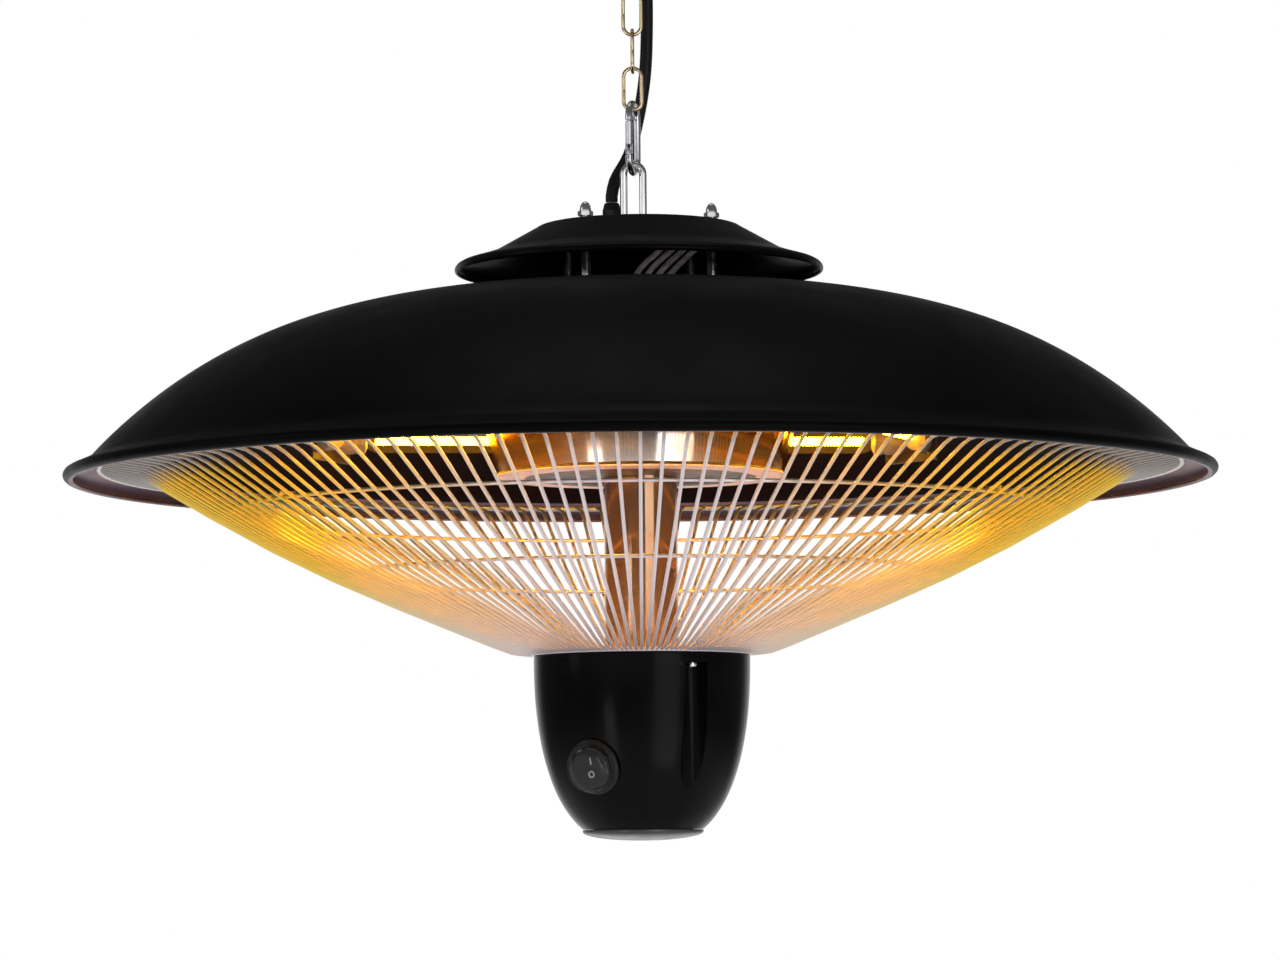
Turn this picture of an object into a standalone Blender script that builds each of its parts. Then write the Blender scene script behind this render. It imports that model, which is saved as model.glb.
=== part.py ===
"""Hanging electric patio heater: a black sheet-metal dome with a vented cap, hung by a chain from a
ceiling plate. Three quartz lamps lie round a polished reflector behind a bowl of radial wires, and a
plastic pod at the bottom holds the rocker switch.

Metres, +Z up. The origin is the middle of the ceiling plate's top face. Heights on the heater itself are
measured up from the bottom edge of its pod, round the heater's own axis.
"""
import math

import bmesh
import bpy
from mathutils import Matrix, Vector

MM = 0.001
CLEAR = 0.3 * MM            # gap between pieces that touch
OVERRUN = 2 * MM            # how far a cutter passes what it cuts

# Ceiling plate and hook
PLATE_RADIUS = 32 * MM
PLATE_THICK = 5 * MM
PLATE_SCREW_HOLE = 2.5 * MM
PLATE_SCREW_SPREAD = 22 * MM
HOOK_WIRE = 2.5 * MM        # radius
HOOK_BOWL = 9 * MM          # radius of the bowl's centre line
HOOK_SHANK = 48 * MM        # from the plate down to the bowl's top
HOOK_SOCKET_DEPTH = 3 * MM

# Chain
LINKS = 7
LINK_WIRE = 1.0 * MM        # radius
LINK_INNER_LENGTH = 20.2 * MM
LINK_INNER_WIDTH = 7.4 * MM

# Snap hook
SNAP_LENGTH = 40 * MM
SNAP_WIDTH = 20 * MM
SNAP_WIRE = 1.9 * MM        # radius
SNAP_TURN = math.radians(15)
SNAP_NOSE_DROP = 1.5 * MM   # nose end below the top bend
SNAP_TONGUE_THICK = 1.4 * MM
SNAP_TONGUE_WIDTH = 2.6 * MM
SNAP_TONGUE_RISE = 4.2 * MM
SNAP_TONGUE_ROOT = 2.0 * MM # sunk in the wire's end
GATE_END_GAP = 0.9 * MM     # from the wire's end, so that the gate's corner clears it when it turns
GATE_WIRE = 1.8 * MM        # radius
GATE_PIN = 0.6 * MM         # radius

# Hanging bow, a U-bolt through the cap
BOW_WIRE = 2.0 * MM         # radius
BOW_BEND = 5.0 * MM         # radius of its centre line
BOW_TOP = 348.1 * MM        # height of the top of the bend
BOW_LEG_BELOW_CAP = 9 * MM
NUT_ACROSS = 7.0 * MM
NUT_TALL = 3.4 * MM

# Cap
HANG_OFFSET = 2.6 * MM      # the heater's axis stands this far to +X of the chain
CAP_TOP = 314.0 * MM
CAP_EDGE = 96.2 * MM        # radius
CAP_CROWN = 54.2 * MM       # radius where the flat top turns into the cone
CAP_CROWN_DROP = 2.0 * MM
CAP_FLARE = 76.7 * MM       # radius where the cone turns into the flare
CAP_FLARE_DROP = 14.7 * MM
CAP_LIP_DROP = 23.0 * MM
CAP_LIP_BEND = 3.4 * MM
CAP_SHEET = 1.0 * MM

# Posts between cap and dome, with domed nuts on top
POSTS = 4
POST_CIRCLE = 46.5 * MM
POST_TURN = math.radians(-36)
POST_WIRE = 2.5 * MM        # radius of the shoulder
POST_THREAD = 2.0 * MM
POST_ABOVE_CAP = 4.0 * MM
POST_BELOW_PLATE = 3.0 * MM
CAP_NUT_BASE = 2.6 * MM
CAP_NUT_TALL = 7.6 * MM

# Cable gland and mains lead
GLAND_AT = (-11.4 * MM, 10.0 * MM)      # from the chain line
GLAND_RADIUS = 5.6 * MM
GLAND_TALL = 13.0 * MM
GLAND_NECK = 4.0 * MM
GLAND_NECK_DEPTH = 6.0 * MM
LEAD_WIRE = 3.25 * MM       # radius
# The lead's free route: x and y from the chain line, height from the pod's bottom edge
LEAD_ROUTE = [
    (-11.4 * MM, 10.0 * MM, 327.6 * MM), (-11.2 * MM, 10.1 * MM, 332.5 * MM),
    (-10.2 * MM, 10.5 * MM, 337.5 * MM), (-8.3 * MM, 11.2 * MM, 342 * MM),
    (-5.7 * MM, 12.3 * MM, 346.5 * MM), (-2.9 * MM, 13.3 * MM, 351.5 * MM),
    (-0.9 * MM, 14.0 * MM, 357 * MM), (0.7 * MM, 14.2 * MM, 363.5 * MM),
    (2.2 * MM, 14.0 * MM, 370 * MM), (4.1 * MM, 13.2 * MM, 379 * MM),
    (5.9 * MM, 12.0 * MM, 390 * MM), (7.0 * MM, 10.7 * MM, 401 * MM),
    (7.6 * MM, 9.2 * MM, 415 * MM), (7.8 * MM, 7.8 * MM, 430 * MM),
    (7.7 * MM, 6.8 * MM, 445 * MM), (8.3 * MM, 5.9 * MM, 461 * MM),
    (9.4 * MM, 5.5 * MM, 474 * MM), (9.9 * MM, 5.4 * MM, 480 * MM),
]
LEAD_STEP = 2.2             # tube rings stand this many diameters / 2 apart

# Spare lead, wound in two layers that spiral in and out again
COIL_TURNS = 6.5
COIL_PITCH = 7.2 * MM
COIL_OUTER = 50.9 * MM      # radius of the outermost turn's centre line
COIL_HEIGHT = 492 * MM      # middle of the coil
COIL_POINTS = 24            # points a turn
COIL_EXIT_TURN = 0.24       # share of a turn in which the lead swings out to its plug
COIL_EXIT_SHIFT = 9.6 * MM
PLUG_RUN = 7.0 * MM         # straight lead from the coil down to its plug
TIE_THICK = 1.0 * MM
TIE_WIDE = 3.6 * MM
TIE_POINTS = 20

# Mains plug, lead in at the side
PLUG_RADIUS = 19.0 * MM
PLUG_DEEP = 24.0 * MM
PLUG_COLLAR = 8.0 * MM      # tapered strain relief
PLUG_SHIFT = 6.2 * MM       # the body's middle behind the lead's end
PIN_RADIUS = 2.4 * MM
PIN_LONG = 19.0 * MM
PIN_SPREAD = 19.0 * MM

# Dome
DOME_RADIUS = 285.2 * MM    # where the bowl turns into the flange
DOME_BASE = 190.8 * MM      # height there
DOME_RISE = 88.0 * MM
DOME_FULL = 3.359           # exponents of the dome's outline
DOME_ROUND = 1.0238
DOME_VENT = 38.0 * MM
DOME_SHEET = 1.0 * MM
DOME_RINGS = 7
DOME_CROWDING = 1.68        # rings stand closer together outwards, where the dome bends more
RIM_RADIUS = 298.4 * MM
RIM_DROP = 7.0 * MM         # flange tip below the dome's base
LIP_DROP = 11.0 * MM        # lip's lowest below the dome's base
LIP_RETURN = 4.5 * MM

# Support plate, central tube and reflector
SUPPORT_RADIUS = 60 * MM
SUPPORT_HOLE = 16 * MM
SUPPORT_THICK = 2 * MM
TUBE_RADIUS = 19.0 * MM
TUBE_SHEET = 1.2 * MM
REFLECTOR_BOTTOM = 182.0 * MM
REFLECTOR_RADIUS = 73.0 * MM
REFLECTOR_SLOPE = math.radians(16)
REFLECTOR_SHEET = 0.8 * MM
REFLECTOR_LIP = 1.6 * MM

# Lamps, three in a triangle
LAMPS = 3
LAMP_HEIGHT = 209.0 * MM
LAMP_TURN = math.radians(186)
LAMP_LONG = 310.0 * MM
LAMP_CORNER = 18.205 * MM   # from a lamp's end to the corner of the triangle
LAMP_GLASS = 5.5 * MM       # radius
LAMP_END = 6.5 * MM         # radius of the ceramic ends
LAMP_END_LONG = 18.0 * MM
BRACKET_FROM_END = 4.0 * MM
BRACKET_SHEET = 1.5 * MM
BRACKET_HALF_WIDTH = 21.5 * MM
BRACKET_BELOW_LAMP = 11.0 * MM
BRACKET_FOOT = 10.0 * MM

# Wire grille
WIRES = 144
WIRE_RADIUS = 1.0 * MM
GRILLE_BASE_RADIUS = 57.5 * MM
GRILLE_BASE_THICK = 2.2 * MM
WIRE_SINK = 0.7 * MM        # how far a wire's end goes into the base disc
WIRE_FOOT_HEIGHT = 93.0 * MM
WIRE_FOOT_REACH = 14.5 * MM # past the base disc, where the wires turn up
WIRE_BEND_SHARE = 0.59      # of the outer ring's radius, as for the rings below
WIRE_BEND_HEIGHT = 132.8 * MM
INNER_RING_SHARE = 0.5625
MIDDLE_RING_SHARE = 0.77964
KINK_IN = 23.0 * MM         # inside the outer ring
KINK_HEIGHT = 183.0 * MM
OUTER_RING_IN = 5.2 * MM    # inside the dome's radius
OUTER_RING_HEIGHT = 186.6 * MM
OUTER_RING_WIRE = 1.5 * MM  # radius
TABS = 4
TAB_TURN = math.radians(45)
TAB_WIDE = 12 * MM
TAB_THICK = 1.4 * MM

# Pod
POD_RADIUS = 56.13 * MM
POD_TALL = 89.4 * MM
POD_REACH = 98.4 * MM       # the outline's formula closes this far below the pod's top
POD_FULL = 2.283
POD_ROUND = 2.775
POD_WALL = 2.5 * MM
POD_RINGS = 6
WELL_RADIUS = 7.0 * MM
WELL_CIRCLE = 52.5 * MM
WELL_TOP = 84.0 * MM
WELL_WALL = 2.2 * MM
WELL_TURNS = [math.radians(30), math.radians(210)]
WELL_SCREW_HEAD = 3.4 * MM
WELL_SCREW_HEAD_TALL = 2.2 * MM
WELL_SCREW_SHANK = 1.75 * MM
END_CAP_DROP = 6.0 * MM
END_CAP_RIM = 1.2 * MM
END_CAP_SPIGOT = 5.0 * MM

# Rocker switch
SWITCH_TURN = math.radians(-30)
SWITCH_HEIGHT = 31.6 * MM
BEZEL_RADIUS = 14.5 * MM
BEZEL_BORE = 11.5 * MM
BEZEL_PROUD = 1.8 * MM
BEZEL_SEAT = 1.0 * MM       # flat cut below the pod's surface
BARREL_RADIUS = 12.8 * MM
BARREL_DEEP = 16.0 * MM
BARREL_FLOOR = 2.0 * MM
ROCKER_RADIUS = 10.5 * MM
ROCKER_HALF = 2.8 * MM
ROCKER_SINK = 0.6 * MM      # pivot below the bezel's face
ROCKER_ANGLE = math.radians(7)
BOOT_WALL = 0.8 * MM
BOOT_RADIUS = 12.6 * MM
BOOT_TALL = 6.4 * MM

# Wiring
INNER_LEADS = 4
INNER_LEAD_WIRE = 1.5 * MM  # radius
INNER_LEAD_SPACING = 6.0 * MM
BLOCK_SIZE = (26 * MM, 14 * MM, 9 * MM)
BLOCK_AT = (21 * MM, 0.0)   # from the heater's axis
LEAD_CROSSING = (8.5 * MM, 290 * MM)    # where the slanting row of leads passes the vent
LEAD_GATHER = 7.0 * MM      # the leads' circle inside the tube

# Facets
FINE_SIDES = 36
ROUND_SIDES = 24
SMALL_SIDES = 20
TINY_SIDES = 10
HOLE_SIDES = 8

# Places that follow from the sizes
LAMP_INRADIUS = (LAMP_LONG / 2 + LAMP_CORNER) / math.tan(math.pi / LAMPS)
OUTER_RING_RADIUS = DOME_RADIUS - OUTER_RING_IN
KINK_RADIUS = OUTER_RING_RADIUS - KINK_IN
WIRE_BEND_RADIUS = OUTER_RING_RADIUS * WIRE_BEND_SHARE
INNER_RING_RADIUS = OUTER_RING_RADIUS * INNER_RING_SHARE
MIDDLE_RING_RADIUS = OUTER_RING_RADIUS * MIDDLE_RING_SHARE
GRILLE_BASE_BOTTOM = POD_TALL + CLEAR
LINK_BEND = LINK_INNER_WIDTH / 2 + LINK_WIRE
LINK_PITCH = LINK_INNER_LENGTH - CLEAR
SNAP_MIDDLE = BOW_TOP - 2 * BOW_WIRE - CLEAR - 2 * SNAP_WIRE + SNAP_LENGTH / 2
FIRST_LINK = SNAP_MIDDLE + SNAP_LENGTH / 2 - 2 * SNAP_WIRE - CLEAR + LINK_INNER_LENGTH / 2
LAST_LINK = FIRST_LINK + (LINKS - 1) * LINK_PITCH
HOOK_BAR = LAST_LINK + LINK_INNER_LENGTH / 2 - CLEAR - HOOK_WIRE
PLATE_BOTTOM = HOOK_BAR + 2 * HOOK_BOWL + HOOK_SHANK
DATUM = -(PLATE_BOTTOM + PLATE_THICK)   # world height of the pod's bottom edge
SWING_FRONT_HEIGHT = LAST_LINK - LINK_INNER_LENGTH / 2 - LINK_WIRE
ROCK_HEIGHT = SNAP_MIDDLE - SNAP_LENGTH / 2 + SNAP_WIRE
SNAP_BEND = SNAP_WIDTH / 2 - SNAP_WIRE
SNAP_STRAIGHT = SNAP_LENGTH / 2 - SNAP_WIRE - SNAP_BEND
GATE_PIVOT = -SNAP_STRAIGHT + SNAP_TONGUE_RISE / 2
COIL_CENTRE = LEAD_ROUTE[-1][0] + COIL_OUTER
COIL_Y = LEAD_ROUTE[-1][1]


def tidy_start():
    """Remove every object of the scene the script starts in."""
    for old in list(bpy.data.objects):
        bpy.data.objects.remove(old, do_unlink=True)


def finish(name, colour, roughness, metallic, alpha=1.0):
    """A plain material with the colour, roughness and metallic value of one surface."""
    material = bpy.data.materials.new(name)
    material.use_nodes = True
    shader = material.node_tree.nodes["Principled BSDF"]
    shader.inputs["Base Color"].default_value = (*colour, 1.0)
    shader.inputs["Roughness"].default_value = roughness
    shader.inputs["Metallic"].default_value = metallic
    shader.inputs["Alpha"].default_value = alpha
    return material


def finishes():
    return {
        "black_paint": finish("black_paint", (0.012, 0.012, 0.013), 0.42, 0.0),
        "polished_aluminium": finish("polished_aluminium", (0.86, 0.85, 0.85), 0.12, 1.0),
        "chrome": finish("chrome", (0.72, 0.71, 0.72), 0.12, 1.0),
        "zinc_steel": finish("zinc_steel", (0.62, 0.64, 0.66), 0.28, 1.0),
        "brassy_steel": finish("brassy_steel", (0.78, 0.62, 0.36), 0.25, 1.0),
        "black_plastic": finish("black_plastic", (0.010, 0.010, 0.012), 0.25, 0.0),
        "black_rubber": finish("black_rubber", (0.014, 0.014, 0.014), 0.55, 0.0),
        "smoked_plastic": finish("smoked_plastic", (0.13, 0.11, 0.12), 0.35, 0.0),
        "gold_quartz": finish("gold_quartz", (1.0, 0.55, 0.10), 0.10, 0.0, 0.6),
        "clear_silicone": finish("clear_silicone", (0.85, 0.88, 0.90), 0.12, 0.0, 0.3),
        "nickel_pin": finish("nickel_pin", (0.75, 0.73, 0.68), 0.20, 1.0),
        "grey_sleeve": finish("grey_sleeve", (0.55, 0.54, 0.56), 0.60, 0.0),
        "white_nylon": finish("white_nylon", (0.78, 0.77, 0.74), 0.50, 0.0),
    }


FINISH = {}


def empty(name, place, parent=None, turn=None):
    """An empty that stands on a joint's axis or at a seat, for its pieces to hang from."""
    holder = bpy.data.objects.new(name, None)
    bpy.context.scene.collection.objects.link(holder)
    holder.parent = parent
    holder.location = place
    if turn is not None:
        holder.rotation_euler = turn.to_euler()
    return holder


def add(name, data, finish_name, parent, place=(0, 0, 0), turn=None, cutter=False):
    """Link an object for a mesh or curve, with its finish, parent and place."""
    piece = bpy.data.objects.new(name, data)
    bpy.context.scene.collection.objects.link(piece)
    piece.parent = parent
    piece.location = place
    if turn is not None:
        piece.rotation_euler = turn
    if cutter:
        piece.hide_render = True
        piece.display_type = "WIRE"
    else:
        data.materials.append(FINISH[finish_name])
    return piece


def mesh_from(bm, name, smooth=True):
    """Close a bmesh into a mesh with outward faces, smooth where its faces bend gently."""
    bmesh.ops.remove_doubles(bm, verts=bm.verts, dist=0.01 * MM)
    bmesh.ops.recalc_face_normals(bm, faces=bm.faces)
    mesh = bpy.data.meshes.new(name)
    bm.to_mesh(mesh)
    bm.free()
    if smooth:
        mesh.shade_smooth()
        mesh.set_sharp_from_angle(angle=math.radians(35))
    return mesh


def chain_of(bm, points, closed):
    """Vertices and edges through a row of points."""
    verts = [bm.verts.new(p) for p in points]
    edges = [bm.edges.new(pair) for pair in zip(verts, verts[1:])]
    if closed:
        edges.append(bm.edges.new((verts[-1], verts[0])))
    return verts + edges


def turned(name, outline, steps, closed=True):
    """A mesh turned round Z from an outline of (radius, height) points."""
    bm = bmesh.new()
    line = chain_of(bm, [(r, 0, h) for r, h in outline], closed)
    bmesh.ops.spin(bm, geom=line, cent=(0, 0, 0), axis=(0, 0, 1), dvec=(0, 0, 0),
                   angle=math.tau, steps=steps, use_merge=True)
    return mesh_from(bm, name)


def sheet(piece, thick):
    """Give a turned skin its sheet thickness on the inner side."""
    wall = piece.modifiers.new("wall", "SOLIDIFY")
    wall.thickness = thick
    wall.offset = -1
    wall.use_even_offset = True


def extruded(name, outline, depth, lift=0.0, smooth=False):
    """A flat outline of (x, y) points made a solid from z = lift up."""
    bm = bmesh.new()
    face = bm.faces.new([bm.verts.new((x, y, lift)) for x, y in outline])
    grown = bmesh.ops.extrude_face_region(bm, geom=[face])["geom"]
    bmesh.ops.translate(bm, vec=(0, 0, depth), verts=[g for g in grown if isinstance(g, bmesh.types.BMVert)])
    return mesh_from(bm, name, smooth)


def circle(radius, sides, turn=0.0):
    """Points of a regular outline."""
    angles = [turn + math.tau * i / sides for i in range(sides)]
    return [(radius * math.cos(a), radius * math.sin(a)) for a in angles]


def rod(name, radius, low, high, sides):
    """A plain upright cylinder."""
    return extruded(name, circle(radius, sides), high - low, low, smooth=True)


def block(name, size):
    """A box round its middle."""
    bm = bmesh.new()
    bmesh.ops.create_cube(bm, size=1.0)
    bmesh.ops.scale(bm, vec=size, verts=bm.verts)
    return mesh_from(bm, name, smooth=False)


def wire(name, points, radius, sides_step, closed=False):
    """A round wire along a row of points, with filled ends unless it is a loop."""
    curve = bpy.data.curves.new(name, "CURVE")
    curve.dimensions = "3D"
    curve.bevel_depth = radius
    curve.bevel_resolution = sides_step
    curve.use_fill_caps = not closed
    line = curve.splines.new("POLY")
    line.points.add(len(points) - 1)
    for point, place in zip(line.points, points):
        point.co = (*place, 1.0)
    line.use_cyclic_u = closed
    line.use_smooth = True
    return curve


def solid_wire(name, points, radius, sides_step):
    """The same wire as a mesh, so that it can be cut."""
    curve = wire(name, points, radius, sides_step)
    holder = bpy.data.objects.new(name + "_line", curve)
    mesh = bpy.data.meshes.new_from_object(holder)
    bpy.data.objects.remove(holder)
    bm = bmesh.new()
    bm.from_mesh(mesh)
    return mesh_from(bm, name)


def cut(piece, tool, operation="DIFFERENCE"):
    """Cut or join with another object, exactly."""
    step = piece.modifiers.new(tool.name, "BOOLEAN")
    step.operation = operation
    step.solver = "EXACT"
    step.object = tool


def stadium(bend, straight, steps):
    """A loop of two half circles and two straight sides, upright in the XZ plane."""
    points = []
    for side, middle in ((1, straight), (-1, -straight)):
        for i in range(steps + 1):
            a = math.pi * i / steps + (0 if side > 0 else math.pi)
            points.append((bend * math.cos(a), 0, middle + bend * math.sin(a)))
    return points


def smooth_route(points, step):
    """Evenly spaced points along a curve that runs smoothly through a row of points."""
    rows = [Vector(p) for p in points]
    rows = [2 * rows[0] - rows[1]] + rows + [2 * rows[-1] - rows[-2]]
    dense = []
    parts = 16
    for a, b, c, d in zip(rows, rows[1:], rows[2:], rows[3:]):
        for k in range(parts):
            t = k / parts
            dense.append(0.5 * (2 * b + (c - a) * t + (2 * a - 5 * b + 4 * c - d) * t ** 2
                                + (3 * b - a - 3 * c + d) * t ** 3))
    dense.append(rows[-2])
    lengths = [0.0]
    for a, b in zip(dense, dense[1:]):
        lengths.append(lengths[-1] + (b - a).length)
    count = max(2, round(lengths[-1] / step))
    spaced = []
    at = 0
    for k in range(count + 1):
        goal = lengths[-1] * k / count
        while at < len(dense) - 2 and lengths[at + 1] < goal:
            at += 1
        share = (goal - lengths[at]) / (lengths[at + 1] - lengths[at])
        spaced.append(dense[at].lerp(dense[at + 1], share))
    return spaced


def dome_height(radius):
    """Height of the dome's outer skin at a radius."""
    reach = max(0.0, 1 - (radius / DOME_RADIUS) ** DOME_FULL)
    return DOME_BASE + DOME_RISE * reach ** (1 / DOME_ROUND)


def dome_bowl():
    """The rings of the dome's outer skin, from its vent out to where the flange starts."""
    first = (DOME_VENT / DOME_RADIUS) ** DOME_CROWDING
    rings = []
    for i in range(DOME_RINGS + 1):
        share = first + (1 - first) * i / DOME_RINGS
        radius = DOME_RADIUS * share ** (1 / DOME_CROWDING)
        rings.append((radius, dome_height(radius)))
    return rings


def dome_under(radius):
    """Height of the dome's faceted inner skin at a radius, at the middle of a facet."""
    radius /= math.cos(math.pi / FINE_SIDES)
    rings = dome_bowl()
    for (r_in, z_in), (r_out, z_out) in zip(rings, rings[1:]):
        if radius <= r_out:
            break
    slope = (z_out - z_in) / (r_out - r_in)
    return z_in + slope * (radius - r_in) - DOME_SHEET * math.hypot(1, slope)


def pod_radius(height):
    """Radius of the pod's outer skin at a height."""
    depth = (POD_TALL - height) / POD_REACH
    return POD_RADIUS * (1 - depth ** POD_FULL) ** (1 / POD_ROUND)


def at_turn(radius, turn, height=0.0):
    """A place at a radius; turn 0 is the front, and it grows towards +X."""
    return (radius * math.sin(turn), -radius * math.cos(turn), height)


def ceiling_pieces():
    """The plate that is screwed to the ceiling, and the open hook in it."""
    base = rod("ceiling_plate", PLATE_RADIUS, -PLATE_THICK, 0, ROUND_SIDES)
    plate = add("ceiling_plate", base, "zinc_steel", None)
    for side in (-1, 1):
        hole = rod("plate_screw_hole", PLATE_SCREW_HOLE, -PLATE_THICK - OVERRUN, OVERRUN, HOLE_SIDES)
        cut(plate, add("plate_screw_hole", hole, None, None, (side * PLATE_SCREW_SPREAD, 0, 0), cutter=True))
    socket_top = HOOK_SOCKET_DEPTH - PLATE_THICK
    socket = rod("hook_socket", HOOK_WIRE + CLEAR, -PLATE_THICK - OVERRUN, socket_top, SMALL_SIDES)
    cut(plate, add("hook_socket", socket, None, None, cutter=True))

    bowl = DATUM + HOOK_BAR + HOOK_BOWL
    points = [(0, 0, -PLATE_THICK + HOOK_SOCKET_DEPTH - CLEAR), (0, 0, bowl + 2.6 * HOOK_BOWL)]
    points.append((0, 0.25 * HOOK_BOWL, bowl + 2.1 * HOOK_BOWL))
    points.append((0, 0.75 * HOOK_BOWL, bowl + 1.3 * HOOK_BOWL))
    first, last, steps = math.radians(35), math.radians(-215), 11
    for i in range(steps + 1):
        a = first + (last - first) * i / steps
        points.append((0, HOOK_BOWL * math.cos(a), bowl + HOOK_BOWL * math.sin(a)))
    add("ceiling_hook", wire("ceiling_hook", points, HOOK_WIRE, 2), "zinc_steel", None)


def chain_link(number, parent, parent_height):
    """One link; odd links face the front and even links stand edge-on."""
    height = FIRST_LINK + (number - 1) * LINK_PITCH
    loop = stadium(LINK_BEND, LINK_INNER_LENGTH / 2 + LINK_WIRE - LINK_BEND, 5)
    if number % 2 == 0:
        loop = [(0, x, z) for x, _, z in loop]
    name = f"chain_link_{number}"
    place = (0, 0, height - parent_height)
    add(name, wire(name, loop, LINK_WIRE, 1, closed=True), "brassy_steel", parent, place)


def snap_hook(parent, parent_height):
    """The snap hook: a bent wire body with a sprung gate on its near side, pinned to a thin tongue."""
    turn = (0, 0, -SNAP_TURN)
    place = (0, 0, SNAP_MIDDLE - parent_height)
    side = -SNAP_BEND
    body_line = [(0, side, -SNAP_STRAIGHT)]
    steps = 8
    for i in range(steps + 1):
        a = math.pi + math.pi * i / steps
        body_line.append((0, SNAP_BEND * math.cos(a), -SNAP_STRAIGHT + SNAP_BEND * math.sin(a)))
    for i in range(steps + 1):
        a = math.pi * i / steps
        body_line.append((0, SNAP_BEND * math.cos(a), SNAP_STRAIGHT + SNAP_BEND * math.sin(a)))
    nose = SNAP_STRAIGHT - SNAP_NOSE_DROP
    body_line.append((0, side, nose))
    del body_line[1]
    shape = solid_wire("snap_hook_body", body_line, SNAP_WIRE, 1)
    body = add("snap_hook_body", shape, "zinc_steel", parent, place, turn)

    tongue_size = (SNAP_TONGUE_THICK, SNAP_TONGUE_WIDTH, SNAP_TONGUE_RISE + SNAP_TONGUE_ROOT)
    tongue = add("snap_tongue", block("snap_tongue", tongue_size), None, parent, place, turn, cutter=True)
    tongue_middle = (SNAP_TONGUE_RISE - SNAP_TONGUE_ROOT) / 2 - SNAP_STRAIGHT
    tongue.data.transform(Matrix.Translation((0, side, tongue_middle)))
    cut(body, tongue, "UNION")
    bore = rod("snap_pin_bore", GATE_PIN + CLEAR / 2, -SNAP_WIRE - OVERRUN, SNAP_WIRE + OVERRUN, TINY_SIDES)
    bore.transform(Matrix.Translation((0, side, GATE_PIVOT)) @ Matrix.Rotation(math.pi / 2, 4, "Y"))
    pin_bore = add("snap_pin_bore", bore, None, parent, place, turn, cutter=True)
    cut(body, pin_bore)

    pin = rod("snap_gate_pin", GATE_PIN, -GATE_WIRE, GATE_WIRE, TINY_SIDES)
    pin.transform(Matrix.Translation((0, side, GATE_PIVOT)) @ Matrix.Rotation(math.pi / 2, 4, "Y"))
    add("snap_gate_pin", pin, "zinc_steel", parent, place, turn)

    across = (side * math.sin(SNAP_TURN), side * math.cos(SNAP_TURN))
    axis = empty("gate_axis", (across[0], across[1], place[2] + GATE_PIVOT), parent)
    low = GATE_END_GAP - SNAP_STRAIGHT
    gate_rod = rod("snap_hook_gate", GATE_WIRE, low - GATE_PIVOT, nose - CLEAR - GATE_PIVOT, TINY_SIDES)
    gate = add("snap_hook_gate", gate_rod, "zinc_steel", axis, (0, 0, 0), turn)
    slot_size = (SNAP_TONGUE_THICK + 2 * CLEAR, 2 * GATE_WIRE + OVERRUN, 2 * (SNAP_TONGUE_RISE + CLEAR))
    slot_place = (0, 0, low - GATE_PIVOT)
    slot = add("gate_slot", block("gate_slot", slot_size), None, axis, slot_place, turn, cutter=True)
    cut(gate, slot)
    cut(gate, pin_bore)


def hexagon(across):
    return circle(across / 2 / math.cos(math.pi / 6), 6)


def hex_nut(name, place, bore, parent):
    """A hexagon nut with a plain bore."""
    nut = add(name, extruded(name, hexagon(NUT_ACROSS), NUT_TALL), "chrome", parent, place)
    tool = rod("nut_bore", bore, -OVERRUN, NUT_TALL + OVERRUN, TINY_SIDES)
    cut(nut, add(name + "_bore", tool, None, parent, place, cutter=True))


def hanging_bow(heater):
    """The U-bolt through the cap, with a nut above and below the sheet on each leg."""
    bend_height = BOW_TOP - BOW_WIRE - BOW_BEND
    low = CAP_TOP - CAP_SHEET - BOW_LEG_BELOW_CAP
    points = [(BOW_BEND, 0, low)]
    steps = 10
    for i in range(steps + 1):
        a = math.pi * i / steps
        points.append((BOW_BEND * math.cos(a), 0, bend_height + BOW_BEND * math.sin(a)))
    points.append((-BOW_BEND, 0, low))
    add("hanging_bow", wire("hanging_bow", points, BOW_WIRE, 2), "chrome", heater, (-HANG_OFFSET, 0, 0))
    for side, word in ((-1, "left"), (1, "right")):
        x = side * BOW_BEND - HANG_OFFSET
        hex_nut(f"bow_nut_{word}", (x, 0, CAP_TOP + CLEAR), BOW_WIRE + CLEAR, heater)
        under = CAP_TOP - CAP_SHEET - CLEAR - NUT_TALL
        hex_nut(f"bow_lock_nut_{word}", (x, 0, under), BOW_WIRE + CLEAR, heater)


def cap_outline():
    """Outer skin of the cap, from its middle out over the cone and flare to the rolled lip."""
    crown = CAP_TOP - CAP_CROWN_DROP
    flare = CAP_TOP - CAP_FLARE_DROP
    lip = CAP_TOP - CAP_LIP_DROP
    round_in = CAP_CROWN_DROP
    points = [(0, CAP_TOP), (CAP_CROWN - 1.9 * round_in, CAP_TOP)]
    points.append((CAP_CROWN - 0.8 * round_in, CAP_TOP - 0.35 * round_in))
    points.append((CAP_CROWN, crown))
    points.append((CAP_FLARE, flare))
    rise = CAP_LIP_BEND * 0.55
    points.append((CAP_EDGE - CAP_LIP_BEND, lip + CAP_LIP_BEND + 0.3 * rise))
    points.append((CAP_EDGE - 0.3 * CAP_LIP_BEND, lip + 0.75 * CAP_LIP_BEND))
    points.append((CAP_EDGE, lip))
    points.append((CAP_EDGE - 0.12 * CAP_LIP_BEND, lip - 0.45 * CAP_LIP_BEND))
    return points


def post_places():
    """Where the posts stand, round the heater's axis."""
    return [at_turn(POST_CIRCLE, POST_TURN + math.tau * k / POSTS) for k in range(POSTS)]


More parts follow.
